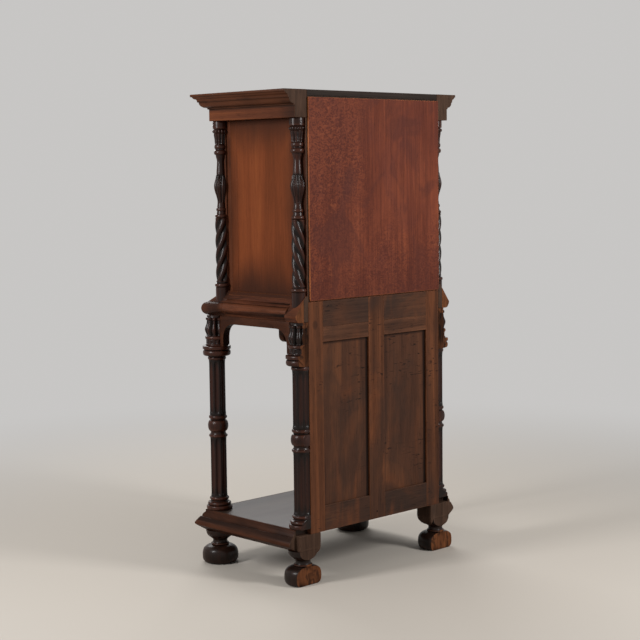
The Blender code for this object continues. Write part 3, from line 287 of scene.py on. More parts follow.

# %% [markdown]
# The finish itself is one function with the tones and the grain direction as its arguments, so
# that rails, stiles and turned work differ as boards from one tree differ. Tones are written as
# they look on screen and turned into linear light by srgb.

# %% Wood finish


# dirt is the tone of the pores and of the hollows; in the hollows it is dirt and painted shade together.
def wood(name, deep, body, pale, grain="z", figure=24.0, run=1.6, cloud=4.0, rubbed=None, dirt=(13, 9, 7),
         gloss=0.42, coat=0.0, shine=0.06, pore=0.4, patch=None, wear=0.3, hollow_dirt_and_shade=0.75, stain=None):
    finish = bpy.data.materials.new(name)
    finish.use_nodes = True
    tree = finish.node_tree
    shader = tree.nodes["Principled BSDF"]
    broad = streaks(tree, grain, figure, run, 4.0, 0.7)
    fine = streaks(tree, grain, 330.0, 5.0, 2.0)
    short = streaks(tree, grain, 620.0, 26.0, 1.0)
    clouds = streaks(tree, grain, cloud, cloud * 0.6, 3.0)
    mixed = sums(tree, "ADD", sums(tree, "MULTIPLY", broad, 0.55), sums(tree, "MULTIPLY", fine, 0.2))
    mixed = sums(tree, "ADD", mixed, sums(tree, "MULTIPLY", clouds, 0.25))
    colour = tint(tree, between(tree, mixed, 0.34, 0.53), srgb(*deep), srgb(*body))
    colour = tint(tree, between(tree, mixed, 0.49, 0.68), colour, srgb(*pale))
    if patch:
        spots = streaks(tree, grain, patch[1], patch[1] * 0.5, 4.0, 1.2)
        colour = tint(tree, between(tree, spots, 0.50, 0.72, 0.0, patch[2]), colour, srgb(*patch[0]))
    if stain:
        colour = stain(tree, colour)
    pores = between(tree, short, 0.58, 0.72, 0.0, pore)
    colour = tint(tree, pores, colour, srgb(*dirt))
    # Hollows, found by the relief, darken to the dirt tone: dirt and painted shade together.
    relief = put(tree, "ShaderNodeAttribute")
    relief.attribute_name = "relief"
    level = relief.outputs["Fac"]
    hollow = between(tree, sums(tree, "MULTIPLY", level, -1.0), 0.05, 0.8, 0.0, hollow_dirt_and_shade)
    colour = tint(tree, hollow, colour, srgb(*dirt))
    rub = streaks(tree, grain, 30.0, 9.0, 3.0)
    ridge = sums(tree, "MULTIPLY", between(tree, level, 0.2, 0.95, 0.0, wear), between(tree, rub, 0.30, 0.60, 0.35, 1.0))
    colour = tint(tree, ridge, colour, srgb(*(rubbed or pale)))
    tree.links.new(colour, shader.inputs["Base Color"])
    rough = sums(tree, "ADD", between(tree, clouds, 0.3, 0.7, gloss - 0.05, gloss + 0.07),
                 sums(tree, "MULTIPLY", hollow, 0.25))
    tree.links.new(rough, shader.inputs["Roughness"])
    height = sums(tree, "SUBTRACT", sums(tree, "MULTIPLY", fine, 0.5), sums(tree, "MULTIPLY", pores, 0.8))
    bump = put(tree, "ShaderNodeBump", Height=height, Strength=0.18, Distance=0.0005)
    tree.links.new(bump.outputs["Normal"], shader.inputs["Normal"])
    shader.inputs["Specular IOR Level"].default_value = shine
    shader.inputs["Coat Weight"].default_value = coat
    shader.inputs["Coat Roughness"].default_value = 0.27
    return finish


print("wood finish ready")

# %% [markdown]
# ## The finishes of this cabinet
#
# Turned work is nearly black in its hollows, from dirt and painted shade, with red-brown ridges. The
# mouldings and flat show wood are a warmer dark brown, the side panels are orange in the middle with
# painted shade at their borders, and the plain back was never meant to be seen: its frame is thinly
# stained, its rails vary, and one red-stained board was nailed over the top part. Where a back foot
# or block was sawn flat against the wall line, the bare orange wood shows.

# %% Stains that have a place
# A stain takes the tree and the colour so far and returns the stained colour.


def place_of(tree):
    here = tree.nodes.new("ShaderNodeTexCoord")
    return put(tree, "ShaderNodeSeparateXYZ", Vector=here.outputs["Object"])


def toward(tree, value, middle, half):
    """0 in the middle of a span and 1 at either end."""
    off = sums(tree, "ABSOLUTE", sums(tree, "SUBTRACT", value, middle))
    return sums(tree, "DIVIDE", off, half)


def panel_edge_shade(tree, colour):
    """Side panel: painted shade darkens the borders, as the columns and the frieze shade them; the band is widest along
    the rear edge.
    """
    here = place_of(tree)
    low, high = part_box("side_panel_right")
    across = toward(tree, here.outputs["Y"], (low.y + high.y) / 2 - 0.046, (high.y - low.y) / 2)
    up = toward(tree, here.outputs["Z"], 1.150, 0.25)
    wander = sums(tree, "MULTIPLY", sums(tree, "SUBTRACT", streaks(tree, "z", 9.0, 3.0, 3.0), 0.5), 0.5)
    edge = sums(tree, "ADD", sums(tree, "MAXIMUM", across, up), wander)
    return tint(tree, between(tree, edge, 0.52, 1.10, 0.0, 0.92), colour, srgb(52, 29, 20))


def cornice_tone_and_crease_shade(tree, colour):
    """Cornice: darker above the frieze and towards the back, with painted shade along its three creases."""
    here = place_of(tree)
    wander = sums(tree, "MULTIPLY", sums(tree, "SUBTRACT", streaks(tree, "y", 30.0, 4.0, 3.0), 0.5), 0.05)
    above = between(tree, here.outputs["Z"], 1.4460, 1.4500, 0.0, 0.72)
    colour = tint(tree, above, colour, srgb(50, 31, 22))
    near_wall = between(tree, sums(tree, "ADD", here.outputs["Y"], wander), BACK_Y - 0.09, BACK_Y, 0.0, 0.7)
    colour = tint(tree, near_wall, colour, srgb(36, 25, 20))
    # Painted shade: dark lines along the cornice's creases.
    for height, half, strength in ((1.4552, 0.0038, 0.95), (1.4770, 0.0032, 0.95), (1.4930, 0.0022, 0.6)):
        line = between(tree, toward(tree, here.outputs["Z"], height, half), 1.2, 0.5, 0.0, strength)
        colour = tint(tree, line, colour, srgb(20, 13, 10))
    return colour


def waist_front_darkening(tree, colour):
    """Waist moulding: darker towards the front corner."""
    here = place_of(tree)
    wander = sums(tree, "MULTIPLY", sums(tree, "SUBTRACT", streaks(tree, "y", 40.0, 9.0, 3.0), 0.5), 0.10)
    front = between(tree, sums(tree, "ADD", here.outputs["Y"], wander), BACK_Y - 0.27, BACK_Y - 0.37, 0.0, 0.75)
    colour = tint(tree, front, colour, srgb(30, 19, 15))
    return tint(tree, between(tree, streaks(tree, "y", 60.0, 7.0, 3.0), 0.52, 0.66, 0.0, 0.5), colour, srgb(34, 21, 16))


def base_tone_and_quirk_shade(tree, colour):
    """Base moulding: darker on the stepped upper part, with painted shade in its two quirks."""
    here = place_of(tree)
    colour = tint(tree, between(tree, here.outputs["Z"], 0.1475, 0.1520, 0.0, 0.85), colour, srgb(26, 16, 12))
    # Painted shade: dark lines in the two quirks.
    for height in (0.1520, 0.1665):
        line = between(tree, toward(tree, here.outputs["Z"], height, 0.0025), 1.2, 0.5, 0.0, 0.8)
        colour = tint(tree, line, colour, srgb(17, 11, 9))
    return colour


def ripple(tree, colour):
    """Red board: rippled figure towards one side and the foot, upright stripes elsewhere."""
    here = place_of(tree)
    drift = sums(tree, "MULTIPLY", sums(tree, "SUBTRACT", streaks(tree, "z", 6.0, 3.0, 3.0), 0.5), 0.6)
    side = between(tree, sums(tree, "ADD", here.outputs["X"], drift), -0.06, 0.22)
    foot = between(tree, sums(tree, "SUBTRACT", drift, here.outputs["Z"]), -1.16, -0.92, 0.0, 0.8)
    curled = sums(tree, "MAXIMUM", side, foot)
    curl = between(tree, streaks(tree, "z", 46.0, 66.0, 2.0, 2.6), 0.44, 0.60)
    colour = tint(tree, sums(tree, "MULTIPLY", sums(tree, "MULTIPLY", curl, curled), 0.75), colour, srgb(74, 37, 31))
    flame = between(tree, streaks(tree, "z", 38.0, 56.0, 3.0, 2.6), 0.54, 0.70)
    colour = tint(tree, sums(tree, "MULTIPLY", sums(tree, "MULTIPLY", flame, curled), 0.5), colour, srgb(140, 78, 52))
    stripe = between(tree, streaks(tree, "z", 110.0, 3.0, 3.0, 0.4), 0.44, 0.62)
    bare = sums(tree, "SUBTRACT", 1.0, sums(tree, "MULTIPLY", side, 0.7))
    colour = tint(tree, sums(tree, "MULTIPLY", sums(tree, "MULTIPLY", stripe, bare), 0.5), colour, srgb(78, 40, 32))
    blot = between(tree, streaks(tree, "z", 9.0, 6.0, 4.0, 1.0), 0.50, 0.66, 0.0, 0.5)
    colour = tint(tree, blot, colour, srgb(76, 42, 37))
    low = between(tree, here.outputs["Z"], 1.02, 0.86, 0.0, 0.35)
    return tint(tree, low, colour, srgb(66, 36, 32))


def spot(tree, colour, x, z, wide, tall, tone, strength):
    """One soft dark oval, such as a knot or a peg hole."""
    here = place_of(tree)
    off_x = sums(tree, "DIVIDE", sums(tree, "SUBTRACT", here.outputs["X"], x), wide)
    off_z = sums(tree, "DIVIDE", sums(tree, "SUBTRACT", here.outputs["Z"], z), tall)
    off = sums(tree, "ADD", sums(tree, "MULTIPLY", off_x, off_x), sums(tree, "MULTIPLY", off_z, off_z))
    return tint(tree, between(tree, off, 1.0, 0.35, 0.0, strength), colour, srgb(*tone))


def scuffs(tree, colour):
    """Plain back: short dark knocks across the grain, a smoky bloom, a knot and a peg hole."""
    marks = between(tree, streaks(tree, "x", 190.0, 34.0, 2.0, 0.6), 0.61, 0.67)
    where = between(tree, streaks(tree, "z", 8.0, 7.0, 3.0), 0.50, 0.60)
    colour = tint(tree, sums(tree, "MULTIPLY", sums(tree, "MULTIPLY", marks, where), 0.9), colour, srgb(26, 19, 17))
    smoke = between(tree, streaks(tree, "z", 5.5, 3.2, 4.0, 0.8), 0.46, 0.64, 0.0, 0.6)
    colour = tint(tree, smoke, colour, srgb(50, 38, 33))
    glow = between(tree, streaks(tree, "z", 13.0, 3.0, 3.0, 0.3), 0.54, 0.72, 0.0, 0.3)
    colour = tint(tree, glow, colour, srgb(122, 70, 42))
    colour = spot(tree, colour, 0.2672, 0.7956, 0.013, 0.016, (40, 27, 21), 0.45)
    return spot(tree, colour, 0.0022, 0.1790, 0.0034, 0.0034, (14, 10, 8), 0.95)


def scuffs_and_recess_shade(tree, colour):
    """Back panels: scuffs, plus painted shade along each panel's -X edge and just under the mid rail, where the frame's
    recess shades the panel.
    """
    colour = scuffs(tree, colour)
    here = place_of(tree)
    # Painted shade: dark lines on each panel beside the muntin and the left stile, and under the mid rail.
    for node in ("back_muntin", "back_stile_left"):
        line = between(tree, toward(tree, here.outputs["X"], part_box(node)[1].x, 0.012), 1.0, 0.5, 0.0, 0.85)
        colour = tint(tree, line, colour, srgb(20, 14, 12))
    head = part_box("back_mid_rail")[0].z
    return tint(tree, between(tree, here.outputs["Z"], head - 0.012, head - 0.004, 0.0, 0.7), colour, srgb(22, 15, 12))


def cracks(tree, colour):
    """Sawn end of a foot: upright drying cracks and dirt."""
    line = between(tree, streaks(tree, "z", 120.0, 9.0, 2.0, 0.5), 0.58, 0.66, 0.0, 0.85)
    colour = tint(tree, line, colour, srgb(34, 22, 16))
    grime = between(tree, streaks(tree, "z", 44.0, 26.0, 3.0, 1.0), 0.50, 0.66, 0.0, 0.75)
    return tint(tree, grime, colour, srgb(48, 31, 22))


# The side panel borders, the cornice's crease lines, the base moulding's quirks and the back panels' edges carry
# painted shade.
print("stains: side panel borders, cornice soot, red board ripple, scuffs, cracks")

# %% Wood finishes
turned_walnut = wood("turned_walnut", (22, 12, 9), (44, 22, 15), (73, 36, 23), rubbed=(95, 51, 33),
                     gloss=0.38, coat=0.30, figure=40.0, wear=0.28, hollow_dirt_and_shade=0.85)
foot_walnut = wood("foot_walnut", (16, 10, 8), (31, 19, 14), (48, 28, 20), rubbed=(84, 48, 33), gloss=0.38,
                   coat=0.3, figure=40.0, wear=0.4, hollow_dirt_and_shade=0.85)
moulded_x = wood("moulded_walnut_x", (36, 21, 15), (62, 35, 24), (86, 49, 32), "x", rubbed=(116, 66, 42))
waist_walnut = wood("waist_walnut", (48, 27, 19), (78, 43, 29), (102, 58, 38), "y", rubbed=(128, 74, 47),
                    stain=waist_front_darkening)
moulded_z = wood("moulded_walnut_z", (34, 20, 15), (58, 33, 23), (82, 46, 30), "z", rubbed=(116, 66, 42))
dark_moulded_x = wood("dark_moulded_walnut_x", (26, 16, 12), (44, 26, 18), (64, 37, 25), "x", rubbed=(104, 60, 39))
apron_walnut = wood("apron_walnut", (21, 13, 10), (37, 21, 15), (53, 31, 21), "y", rubbed=(104, 60, 39))
dark_moulded_y = wood("dark_moulded_walnut_y", (30, 18, 13), (51, 30, 21), (72, 42, 28), "y", rubbed=(100, 58, 38),
                      hollow_dirt_and_shade=0.3, stain=base_tone_and_quirk_shade)
cornice_walnut = wood("cornice_walnut", (61, 33, 21), (87, 48, 31), (108, 61, 37), "y", rubbed=(114, 67, 43),
                      figure=30.0, stain=cornice_tone_and_crease_shade)
stile_walnut = wood("corner_post_walnut", (40, 23, 16), (64, 36, 24), (86, 48, 31), "z", rubbed=(108, 60, 39))
side_walnut = wood("side_panel_walnut", (92, 47, 25), (111, 57, 31), (126, 68, 37), "z", figure=15.0, run=0.7,
                   rubbed=(140, 80, 48), gloss=0.44, stain=panel_edge_shade, pore=0.25)
frame_walnut_z = wood("back_frame_walnut_z", (56, 34, 24), (85, 52, 35), (108, 66, 43), "z", figure=44.0, run=1.2,
                      rubbed=(126, 78, 52), gloss=0.55, patch=((50, 33, 26), 7.0, 0.4), wear=0.6, stain=scuffs)
frame_walnut_x = wood("back_frame_walnut_x", (58, 37, 27), (86, 56, 41), (110, 72, 50), "x", figure=44.0,
                      rubbed=(124, 80, 56), gloss=0.55, patch=((54, 37, 30), 6.0, 0.45), wear=0.5, stain=scuffs)
dark_rail = wood("back_top_rail_walnut", (40, 28, 23), (61, 43, 35), (81, 56, 42), "x", figure=44.0,
                 rubbed=(112, 78, 58), gloss=0.55, patch=((92, 56, 38), 5.0, 0.5), stain=scuffs)
panel_walnut = wood("back_panel_walnut", (48, 31, 24), (76, 49, 36), (102, 64, 43), "z", figure=14.0, run=0.9,
                    gloss=0.55, patch=((92, 54, 35), 6.0, 0.55), stain=scuffs_and_recess_shade)
red_board = wood("red_stained_board", (91, 45, 33), (112, 58, 41), (131, 70, 48), "z", figure=12.0, run=2.0,
                 rubbed=(164, 98, 60), gloss=0.5, cloud=5.0, patch=((84, 46, 42), 6.0, 0.45), wear=0.85,
                 stain=ripple, pore=0.3)
shelf_walnut = wood("shelf_walnut", (43, 31, 26), (53, 40, 34), (65, 49, 42), "x", gloss=0.34, coat=0.12,
                    rubbed=(110, 80, 62), pore=0.15, shine=0.08)
sawn_walnut = wood("sawn_walnut", (68, 40, 25), (100, 60, 37), (130, 80, 49), "z", figure=60.0, run=4.0,
                   gloss=0.7, stain=cracks)
sawn_dark = wood("sawn_dark_walnut", (46, 33, 26), (67, 49, 39), (86, 65, 53), "z", figure=60.0, run=5.0,
                 gloss=0.7, patch=((46, 38, 33), 14.0, 0.6))
top_walnut = wood("top_edge_walnut", (30, 25, 22), (43, 36, 32), (58, 49, 44), "x", figure=44.0,
                  rubbed=(84, 71, 63), gloss=0.6)
inner_oak = wood("inner_oak", (104, 78, 50), (138, 106, 70), (162, 128, 88), "x", gloss=0.6,
                 rubbed=(178, 146, 106), dirt=(52, 36, 24))
print(len([m for m in bpy.data.materials if m.users == 0 or m.use_nodes]), "finishes so far")

# %% [markdown]
# Brass and iron are simple metals with a tarnish cloud: the cloud drives both the colour and the
# roughness, so the dull patches are also the darker ones.

# %% Metal finishes


def metal(name, bright, dull, smooth, rough):
    finish = bpy.data.materials.new(name)
    finish.use_nodes = True
    tree = finish.node_tree
    shader = tree.nodes["Principled BSDF"]
    cloud = streaks(tree, "z", 60.0, 60.0, 4.0, 0.6)
    speck = streaks(tree, "z", 700.0, 700.0, 2.0)
    dullness = between(tree, cloud, 0.38, 0.66)
    colour = tint(tree, dullness, srgb(*bright), srgb(*dull))
    tree.links.new(colour, shader.inputs["Base Color"])
    tree.links.new(between(tree, cloud, 0.35, 0.7, smooth, rough), shader.inputs["Roughness"])
    shader.inputs["Metallic"].default_value = 1.0
    bump = put(tree, "ShaderNodeBump", Height=speck, Strength=0.12, Distance=0.0003)
    tree.links.new(bump.outputs["Normal"], shader.inputs["Normal"])
    return finish


aged_brass = metal("aged_brass", (176, 138, 72), (104, 76, 40), 0.26, 0.5)
dark_iron = metal("dark_iron", (74, 70, 66), (44, 40, 37), 0.38, 0.62)
print("metals:", aged_brass.name, dark_iron.name)

# %% [markdown]
# ## Joinery with worn edges
#
# No real board has a razor-sharp edge. Each packed board is copied, its loose triangles are merged
# into clean faces, and its outward edges are rounded with the Bevel modifier. Large flat faces get
# a narrow inset first, so that the relief value at an edge fades over three millimetres instead
# of running across the whole board.

# %% Board helper
INSET = 0.003
SAWN_REACH = 0.021
SHARP = math.radians(30)


def keep(obj, body, node):
    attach(obj, body)
    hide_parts(node)
    return obj


def plain_mesh(obj, name):
    """Turns an object with modifiers into a plain mesh object and drops the old one."""
    bpy.context.view_layer.update()
    graph = bpy.context.evaluated_depsgraph_get()
    mesh = bpy.data.meshes.new_from_object(obj.evaluated_get(graph))
    mesh.name = name
    bpy.data.objects.remove(obj)
    made = bpy.data.objects.new(name, mesh)
    bpy.context.scene.collection.objects.link(made)
    return made


def merged(node):
    """The node's shape as a bmesh of clean faces."""
    shape = bmesh.new()
    shape.from_mesh(nodes[node].data)
    bmesh.ops.remove_doubles(shape, verts=shape.verts, dist=2e-6)
    bmesh.ops.dissolve_limit(shape, angle_limit=math.radians(0.4), verts=shape.verts, edges=shape.edges)
    return shape


def inset_flats(shape):
    flats = []
    for face in shape.faces:
        if len(face.verts) == 4 and min(edge.calc_length() for edge in face.edges) > 4 * INSET:
            flats.append(face)
    if flats:
        bmesh.ops.inset_individual(shape, faces=flats, thickness=INSET, depth=0.0)


def mark_relief(shape):
    """Writes relief on the points and the bevel weight on the outward edges."""
    relief = shape.verts.layers.float.new("relief")
    weight = shape.edges.layers.float.new("bevel_weight_edge")
    shape.normal_update()
    for edge in shape.edges:
        if len(edge.link_faces) == 2 and edge.calc_face_angle_signed(0.0) > SHARP:
            edge[weight] = 1.0
    for vert in shape.verts:
        turns = [e.calc_face_angle_signed(0.0) for e in vert.link_edges if len(e.link_faces) == 2]
        turns = [t for t in turns if abs(t) > 0.08]
        if turns:
            vert[relief] = max(-1.0, min(1.0, sum(turns) / len(turns)))


def dress(node, finish, edge=0.0012, sawn=None, body=None, reshape=None):
    shape = merged(node)
    if reshape:
        reshape(shape)
    inset_flats(shape)
    mark_relief(shape)
    mesh = bpy.data.meshes.new(node + "_dressed")
    shape.to_mesh(mesh)
    shape.free()
    mesh.materials.append(finish)
    if sawn:
        mesh.materials.append(sawn)
        for face in mesh.polygons:
            if face.normal.y > 0.99 and face.center.y > BACK_Y - SAWN_REACH:
                face.material_index = 1
    obj = bpy.data.objects.new(node + "_dressed", mesh)
    bpy.context.scene.collection.objects.link(obj)
    bevel = obj.modifiers.new("worn_edge", "BEVEL")
    bevel.limit_method = "WEIGHT"
    bevel.width = edge
    bevel.segments = 2
    obj = plain_mesh(obj, node + "_dressed")
    obj.data.shade_smooth()
    obj.data.set_sharp_from_angle(angle=math.radians(32))
    return keep(obj, body or nodes[node]["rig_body"], node)


print("board helper ready")

# %% [markdown]
# Every flat or moulded piece goes through that helper with the finish of its own board.
# The finish also sets the grain: uprights along Z, front and back rails along X, the side
# mouldings along Y.

# %% [markdown]
# Two pieces get a new outline first. At each front corner the waist moulding's torus swells and turns the
# corner under a plain slope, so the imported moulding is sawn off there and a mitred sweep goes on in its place.
# The front stile loses the small bead at its edge.

# %% New outlines
MOULD_X = 0.3133
MOULD_DEPTH = 0.4133
SLOPE = 1.365
SLOPE_FOOT = (0.0342, 0.020)
TORUS = (0.0175, 0.0275, 0.0140, 0.0140)
SWELL = (0.0175, 0.0215, 0.0165, 0.0205)
CORNER_START = 0.3433
CORNER_PLAIN = 0.3733
PLAIN_FROM = 0.0418
HIP_BACK = 0.3756
HIP_RUN = 1.3685
NOSE_BACK = 0.0075
SIDE_FACE = 0.2970
BEAD_REACH = 0.3045
LEDGE = 0.8840
STILE_DEPTH = (0.3355, 0.3435)


def on_slope(rise):
    return SLOPE_FOOT[0] - (rise - SLOPE_FOOT[1]) / SLOPE, rise


def waist_line(top, swollen):
    """The moulding's face as (out, rise): foot, torus, then small steps or a plain slope up to the seat."""
    out, rise, wide, tall = SWELL if swollen else TORUS
    line = [(0.0180, 0.0), (0.0200, 0.0008)] if swollen else [(0.0067, 0.0), (0.0087, 0.0055)]
    for turn in np.radians(np.linspace(-75, 75, 17)):
        line.append((out + wide * math.cos(turn), rise + tall * math.sin(turn)))
    steps = [(0.0167, 0.0430), (0.0187, 0.0450), (0.0067, 0.0525), (0.0087, 0.0545)]
    line += [on_slope(height) for _, height in steps] if swollen else steps
    return line + [on_slope(top)]


def sweep_corner(shape):
    side = 1 if sum(vert.co.x for vert in shape.verts) > 0 else -1
    inner = min(abs(vert.co.x) for vert in shape.verts)
    low = min(vert.co.z for vert in shape.verts)
    top = max(vert.co.z for vert in shape.verts) - low
    everything = shape.verts[:] + shape.edges[:] + shape.faces[:]
    sawn = bmesh.ops.bisect_plane(shape, geom=everything, dist=1e-6, clear_outer=True,
                                  plane_co=(0, BACK_Y - CORNER_START - 0.001, 0), plane_no=(0, -1, 0))
    rim = [part for part in sawn["geom_cut"] if isinstance(part, bmesh.types.BMEdge)]
    bmesh.ops.contextual_create(shape, geom=rim)
    run, swell = waist_line(top, False), waist_line(top, True)
    mixed = [b if b[1] > PLAIN_FROM else (0.7 * a[0] + 0.3 * b[0], 0.7 * a[1] + 0.3 * b[1])
             for a, b in zip(run, swell)]

    def hip(u, rise):
        """How far forward the corner's edge lies: the plain slope is flatter on the front than on the side."""
        return HIP_BACK + (top - rise) * HIP_RUN if rise > PLAIN_FROM else MOULD_DEPTH - NOSE_BACK + u

    def point(x, depth, rise):
        return shape.verts.new((side * x, BACK_Y - depth, low + rise))

    rows = [[point(MOULD_X + u, CORNER_START, z) for u, z in run],
            [point(MOULD_X + u, CORNER_PLAIN, z) for u, z in mixed],
            [point(MOULD_X + u, hip(u, z), z) for u, z in swell],
            [point(inner, hip(*b) if b[1] > PLAIN_FROM else MOULD_DEPTH + a[0], b[1])
             for a, b in zip(run, swell)]]
    over, under = point(inner, CORNER_START, top), point(inner, CORNER_START, 0.0)
    made = [shape.faces.new((a[k], a[k + 1], b[k + 1], b[k]))
            for a, b in zip(rows, rows[1:]) for k in range(len(run) - 1)]
    made.append(shape.faces.new([row[-1] for row in rows] + [over]))
    made.append(shape.faces.new([row[0] for row in rows] + [under]))
    made.append(shape.faces.new(rows[0] + [over, under]))
    made.append(shape.faces.new(rows[-1] + [over, under]))
    bmesh.ops.recalc_face_normals(shape, faces=made)


def flatten_bead(shape):
    """Front stile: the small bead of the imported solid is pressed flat, because the corner post takes its place."""
    for vert in shape.verts:
        if vert.co.z > LEDGE - 0.0025 and SIDE_FACE + 0.0002 < abs(vert.co.x) < BEAD_REACH:
            vert.co.x = math.copysign(SIDE_FACE, vert.co.x)
            vert.co.y = min(max(vert.co.y, BACK_Y - STILE_DEPTH[1]), BACK_Y - STILE_DEPTH[0])
            vert.co.z = max(vert.co.z, LEDGE)
    bmesh.ops.remove_doubles(shape, verts=shape.verts, dist=1e-5)
    bmesh.ops.dissolve_degenerate(shape, dist=1e-5, edges=shape.edges)
    bmesh.ops.dissolve_limit(shape, angle_limit=math.radians(0.4), verts=shape.verts, edges=shape.edges)


reshapes = {"waist_moulding": sweep_corner, "front_stile": flatten_bead}
print("waist corner has", len(waist_line(0.078, True)), "points in its section")

# %% Dress the joinery
joinery = {}
for hand in ("left", "right"):
    joinery[f"base_moulding_{hand}"] = (dark_moulded_y, "dark_walnut")
    joinery[f"apron_{hand}"] = (apron_walnut, "carved_walnut")
    joinery[f"waist_moulding_{hand}"] = (waist_walnut, "dark_walnut")
    joinery[f"cornice_{hand}"] = (cornice_walnut, "dark_walnut")
    joinery[f"side_panel_{hand}"] = (side_walnut, "side_walnut")
    joinery[f"front_stile_{hand}"] = (side_walnut, "side_walnut")
    joinery[f"back_stile_{hand}"] = (frame_walnut_z, "back_walnut")
    joinery[f"back_panel_{hand}"] = (panel_walnut, "back_walnut")
    joinery[f"drawer_side_{hand}"] = (inner_oak, "inner_oak")
for name in ("base_moulding_front", "apron_front"):
    joinery[name] = (dark_moulded_x, "dark_walnut")
for name in ("cornice_front", "top_board", "waist_board", "drawer_front", "door_top_rail", "door_bottom_rail"):
    joinery[name] = (moulded_x, "dark_walnut")
for name in ("door_hinge_stile", "door_lock_stile", "door_panel"):
    joinery[name] = (moulded_z, "dark_walnut")
joinery["back_muntin"] = (frame_walnut_z, "back_walnut")
joinery["back_mid_rail"] = (frame_walnut_x, "back_walnut")
joinery["back_top_rail"] = (dark_rail, "back_walnut")
joinery["back_bottom_rail"] = (dark_rail, "back_walnut")
joinery["top_back_rail"] = (top_walnut, "back_walnut")
joinery["upper_back_board"] = (red_board, "red_stained_oak")
joinery["base_shelf"] = (shelf_walnut, "dark_walnut")
for name in ("dust_board", "cupboard_shelf", "drawer_back", "drawer_bottom"):
    joinery[name] = (inner_oak, "inner_oak")
sawn_ends = {}
for hand in ("left", "right"):
    sawn_ends[f"waist_moulding_{hand}"] = sawn_walnut
    for run in ("cornice", "base_moulding", "side_panel"):
        sawn_ends[f"{run}_{hand}"] = sawn_dark
sawn_ends["top_board"] = top_walnut
for name, (finish, slot) in joinery.items():
    edge = 0.006 if name.startswith("base_moulding") else 0.0035 if name.startswith("waist_moulding") else 0.0012
    reshape = reshapes.get(name.rsplit("_", 1)[0])
    dress(name, finish, edge=edge, sawn=sawn_ends.get(name), reshape=reshape)
print("dressed", len(joinery), "boards and mouldings")

# %% [markdown]
# Two small things of the maker show beside the mouldings. A post with a rounded edge closes the corner
# between each front stile and its column, and the left base moulding was left long, up to the wall line.

# %% Corner beads and the long base moulding


def joined(first, second):
    with bpy.context.temp_override(active_object=first, selected_editable_objects=[first, second]):
        bpy.ops.object.join()
    return first


def bar(name, low, high, edge, finish):
    shape = bmesh.new()
    bmesh.ops.create_cube(shape, size=1.0)
    bmesh.ops.scale(shape, vec=high - low, verts=shape.verts)
    bmesh.ops.translate(shape, vec=(high + low) / 2, verts=shape.verts)
    upright = [e for e in shape.edges if abs(e.verts[0].co.z - e.verts[1].co.z) > 0.1]
    bmesh.ops.bevel(shape, geom=upright, offset=edge, segments=3, profile=0.5, affect="EDGES")
    mark_relief(shape)
    mesh = bpy.data.meshes.new(name)
    shape.to_mesh(mesh)
    shape.free()
    mesh.materials.append(finish)
    mesh.shade_smooth()
    mesh.set_sharp_from_angle(angle=math.radians(40))
    made = bpy.data.objects.new(name, mesh)
    bpy.context.scene.collection.objects.link(made)
    return made


CORNER_POST = {"corner_board": (0.2970, 0.3600, 0.3430, 0.0002, stile_walnut),
               "corner_bead": (0.3035, 0.3760, 0.3580, 0.0022, stile_walnut)}
for hand, side in (("left", -1), ("right", 1)):
    stile = bpy.data.objects[f"front_stile_{hand}_dressed"]
    for part, (out, front, back, edge, finish) in CORNER_POST.items():
        near, far = sorted((side * 0.2880, side * out))
        post = bar(f"{part}_{hand}", Vector((near, BACK_Y - front, 0.8832)),
                   Vector((far, BACK_Y - back, 1.4165)), edge, finish)
        joined(stile, post)
BASE_RUN_REAR = 0.020
long_run = bpy.data.objects["base_moulding_left_dressed"].data
moved = 0
for vert in long_run.vertices:
    if vert.co.y > BACK_Y - BASE_RUN_REAR - 0.0045:
        vert.co.y += BASE_RUN_REAR - 0.0004
        moved += 1
print("corner beads joined,", moved, "points of the left base moulding moved")

# %% [markdown]
# Hinges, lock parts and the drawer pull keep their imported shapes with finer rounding.

# %% Dress the metalwork
metalwork = {"escutcheon": aged_brass, "key": dark_iron, "lock_bolt": dark_iron, "drawer_pull": aged_brass}
for height in ("lower", "upper"):
    for leaf in ("fixed", "moving"):
        metalwork[f"hinge_{height}_{leaf}"] = aged_brass
for name, finish in metalwork.items():
    dress(name, finish, edge=0.0004)
print("dressed", len(metalwork), "metal pieces")

# %% [markdown]
# ## Turning
#
# A turned column is a profile, radius against height, spun round an axis. Beads are half rounds,
# coves and bulbs are soft curves through a few points. A small set of helpers writes
# such a profile, and one function spins it into a closed mesh with plenty of points, ready
# for carving.

# %% Turning helpers
AROUND = 144


def bead(low, high, inner, outer, steps=9):
    turn = np.linspace(-math.pi / 2, math.pi / 2, steps)
    return [(inner + (outer - inner) * math.cos(t), (low + high) / 2 + (high - low) / 2 * math.sin(t)) for t in turn]


def straight(radius, low, high, step=0.004):
    count = max(2, int(round((high - low) / step)) + 1)
    return [(radius, z) for z in np.linspace(low, high, count)]


def flow(points, step=0.0015):
    curve = []
    for (r0, z0), (r1, z1) in zip(points, points[1:]):
        count = max(3, int(round((z1 - z0) / step)) + 1)
        for t in np.linspace(0, 1, count):
            curve.append((r0 + (r1 - r0) * (1 - math.cos(math.pi * t)) / 2, z0 + (z1 - z0) * t))
    return curve


def curve(points, steps=6):
    """A smooth line through every point (Catmull-Rom)."""
    p = [np.array(point) for point in [points[0]] + points + [points[-1]]]
    made = []
    for a, b, c, d in zip(p, p[1:], p[2:], p[3:]):
        for t in np.linspace(0, 1, steps, endpoint=False):
            made.append(tuple(0.5 * (2 * b + (c - a) * t + (2 * a - 5 * b + 4 * c - d) * t ** 2
                                     + (3 * b - a - 3 * c + d) * t ** 3)))
    return made + [points[-1]]


